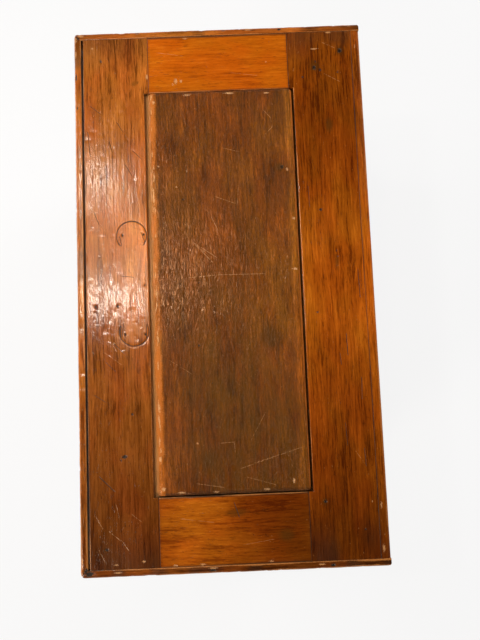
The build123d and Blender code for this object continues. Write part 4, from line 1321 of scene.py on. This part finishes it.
# Studio
studio = {
    "floorSize": 14.0,
    "floorTone": 0.82,
    "floorLift": 0.85,  # share of plain white in what is seen of the floor
    "zenith": 0.02,  # the sky's strength as a light, overhead and low down
    "horizon": 0.55,
}
glossColour = (1.0, 0.80, 0.62)
paneColour = (0.95, 1.0, 1.0)
warm = (1.0, 0.93, 0.86)
cool = (1.0, 0.97, 0.95)
lamps = {
    # place, what it looks at, size, power, colour and whether glossy finishes mirror it
    "glossLamp": ((-0.52, -0.66, 2.1), (-0.05, -0.22, 0.6), (0.86, 0.34), 3.0, glossColour, True),
    "crackleLamp": ((-0.30, -0.27, 2.1), (-0.03, -0.09, 0.6), (0.40, 0.14), 3.6, glossColour, True),
    "paneFar": ((-0.78, -0.72, 2.1), (-0.2, -0.22, 0.6), (0.12, 0.08), 3.2, paneColour, True),
    "paneNear": ((-0.20, -0.67, 2.1), (0.0, -0.2, 0.6), (0.07, 0.12), 4.4, paneColour, True),
    "rimLamp": ((-0.7, -1.75, 1.5), (-0.1, -0.15, 0.6), (1.3, 0.25), 18.0, warm, True),
    "keyLamp": ((2.3, -2.5, 2.5), (0.0, 0.0, 0.5), (1.2, 1.2), 65.0, warm, True),
    "fillLamp": ((-1.5, 2.0, 2.3), (0.0, 0.0, 0.5), (1.4, 1.4), 43.0, cool, False),
}
view = {
    "lens": 27.06,  # millimetres, as the sensor is
    "sensor": 36.0,
    "far": 60.0,
    "place": (0.1284, 0.0191, lidTop / 1000 + 0.8691),  # about 0.87 m above the lid
    "right": (0.03950, 0.99922, 0.00233),
    "up": (-0.99602, 0.03919, 0.08008),
    "back": (0.07993, -0.00548, 0.99679),
}


def seenDirectly(finish):
    # 1 for rays from the camera, mirrored rays and rays through glass
    kinds = ("Is Camera Ray", "Is Glossy Ray", "Is Transmission Ray")
    rays = [finish.add("ShaderNodeLightPath", out=kind) for kind in kinds]
    return rays[0].atLeast(rays[1]).atLeast(rays[2])


def makeFloor():
    # a flat pale floor, lifted towards white where it is seen, so that only the shadow tones it down
    half, tone = studio["floorSize"] / 2, studio["floorTone"]
    corners = [(-half, -half, 0), (half, -half, 0), (half, half, 0), (-half, half, 0)]
    mesh = bpy.data.meshes.new("floor")
    mesh.from_pydata(corners, [], [(0, 1, 2, 3)])
    floor = newPiece("floor", mesh)
    finish = Finish("floorPaint")
    paint = finish.add("ShaderNodeBsdfDiffuse", None, {"Color": rgb(tone, tone, tone)})
    glow = finish.add("ShaderNodeEmission", None, {"Color": rgb(1, 1, 1), "Strength": 1.0})
    lift = seenDirectly(finish) * studio["floorLift"]
    mixed = finish.add("ShaderNodeMixShader", None, {0: lift, 1: paint, 2: glow})
    finish.add("ShaderNodeOutputMaterial", None, {"Surface": mixed})
    mesh.materials.append(finish.material)


class WorldFinish(Finish):
    # the same for the world's nodes
    def __init__(self, world):
        world.use_nodes = True
        self.tree = world.node_tree
        self.tree.nodes.clear()


def makeSky():
    # white where it is seen; as a light, soft round the horizon and darker with the direction's height
    world = bpy.data.worlds.new("studio")
    bpy.context.scene.world = world
    finish = WorldFinish(world)
    direction = finish.add("ShaderNodeTexCoord", out="Generated")
    height = finish.add("ShaderNodeSeparateXYZ", None, {0: direction}, out=2)
    dim = studio["horizon"] + finish.ease(height, 0.05, 0.65) * (studio["zenith"] - studio["horizon"])
    level = dim.atLeast(finish.add("ShaderNodeLightPath", out="Is Camera Ray"))
    sky = finish.add("ShaderNodeBackground", None, {"Color": rgb(1.0, 1.0, 1.0), "Strength": level})
    finish.add("ShaderNodeOutputWorld", None, {"Surface": sky})


def setAxes(thing, right, up, back, place):
    # turns and places a thing by its three axes
    matrix = thing.matrix_world.copy()
    for column, vector in enumerate((right, up, back, place)):
        for row in range(3):
            matrix[row][column] = vector[row]
    thing.matrix_world = matrix


def makeLamp(name, place, aim, size, power, colour, glossy):
    # an oblong area lamp turned towards its aim
    data = bpy.data.lights.new(name, "AREA")
    data.shape = "RECTANGLE"
    data.size, data.size_y = size
    data.energy = power
    data.color = colour
    lamp = bpy.data.objects.new(name, data)
    lamp.visible_glossy = glossy
    bpy.context.scene.collection.objects.link(lamp)
    look = np.array(aim, float) - np.array(place, float)
    look /= np.linalg.norm(look)
    right = np.cross(look, (0, 1, 0))
    right /= np.linalg.norm(right)
    setAxes(lamp, right, np.cross(right, look), -look, place)


def makeCamera():
    # a hand-held view from just above, leaning a little along the chest
    data = bpy.data.cameras.new("camera")
    data.sensor_fit = "AUTO"
    data.sensor_width = view["sensor"]
    data.lens = view["lens"]
    data.clip_end = view["far"]
    camera = bpy.data.objects.new("camera", data)
    bpy.context.scene.collection.objects.link(camera)
    bpy.context.scene.camera = camera
    setAxes(camera, view["right"], view["up"], view["back"], view["place"])


makeFloor()
makeSky()
for name, values in lamps.items():
    makeLamp(name, *values)
makeCamera()
bpy.context.scene.view_settings.view_transform = "Standard"
print("studio made")
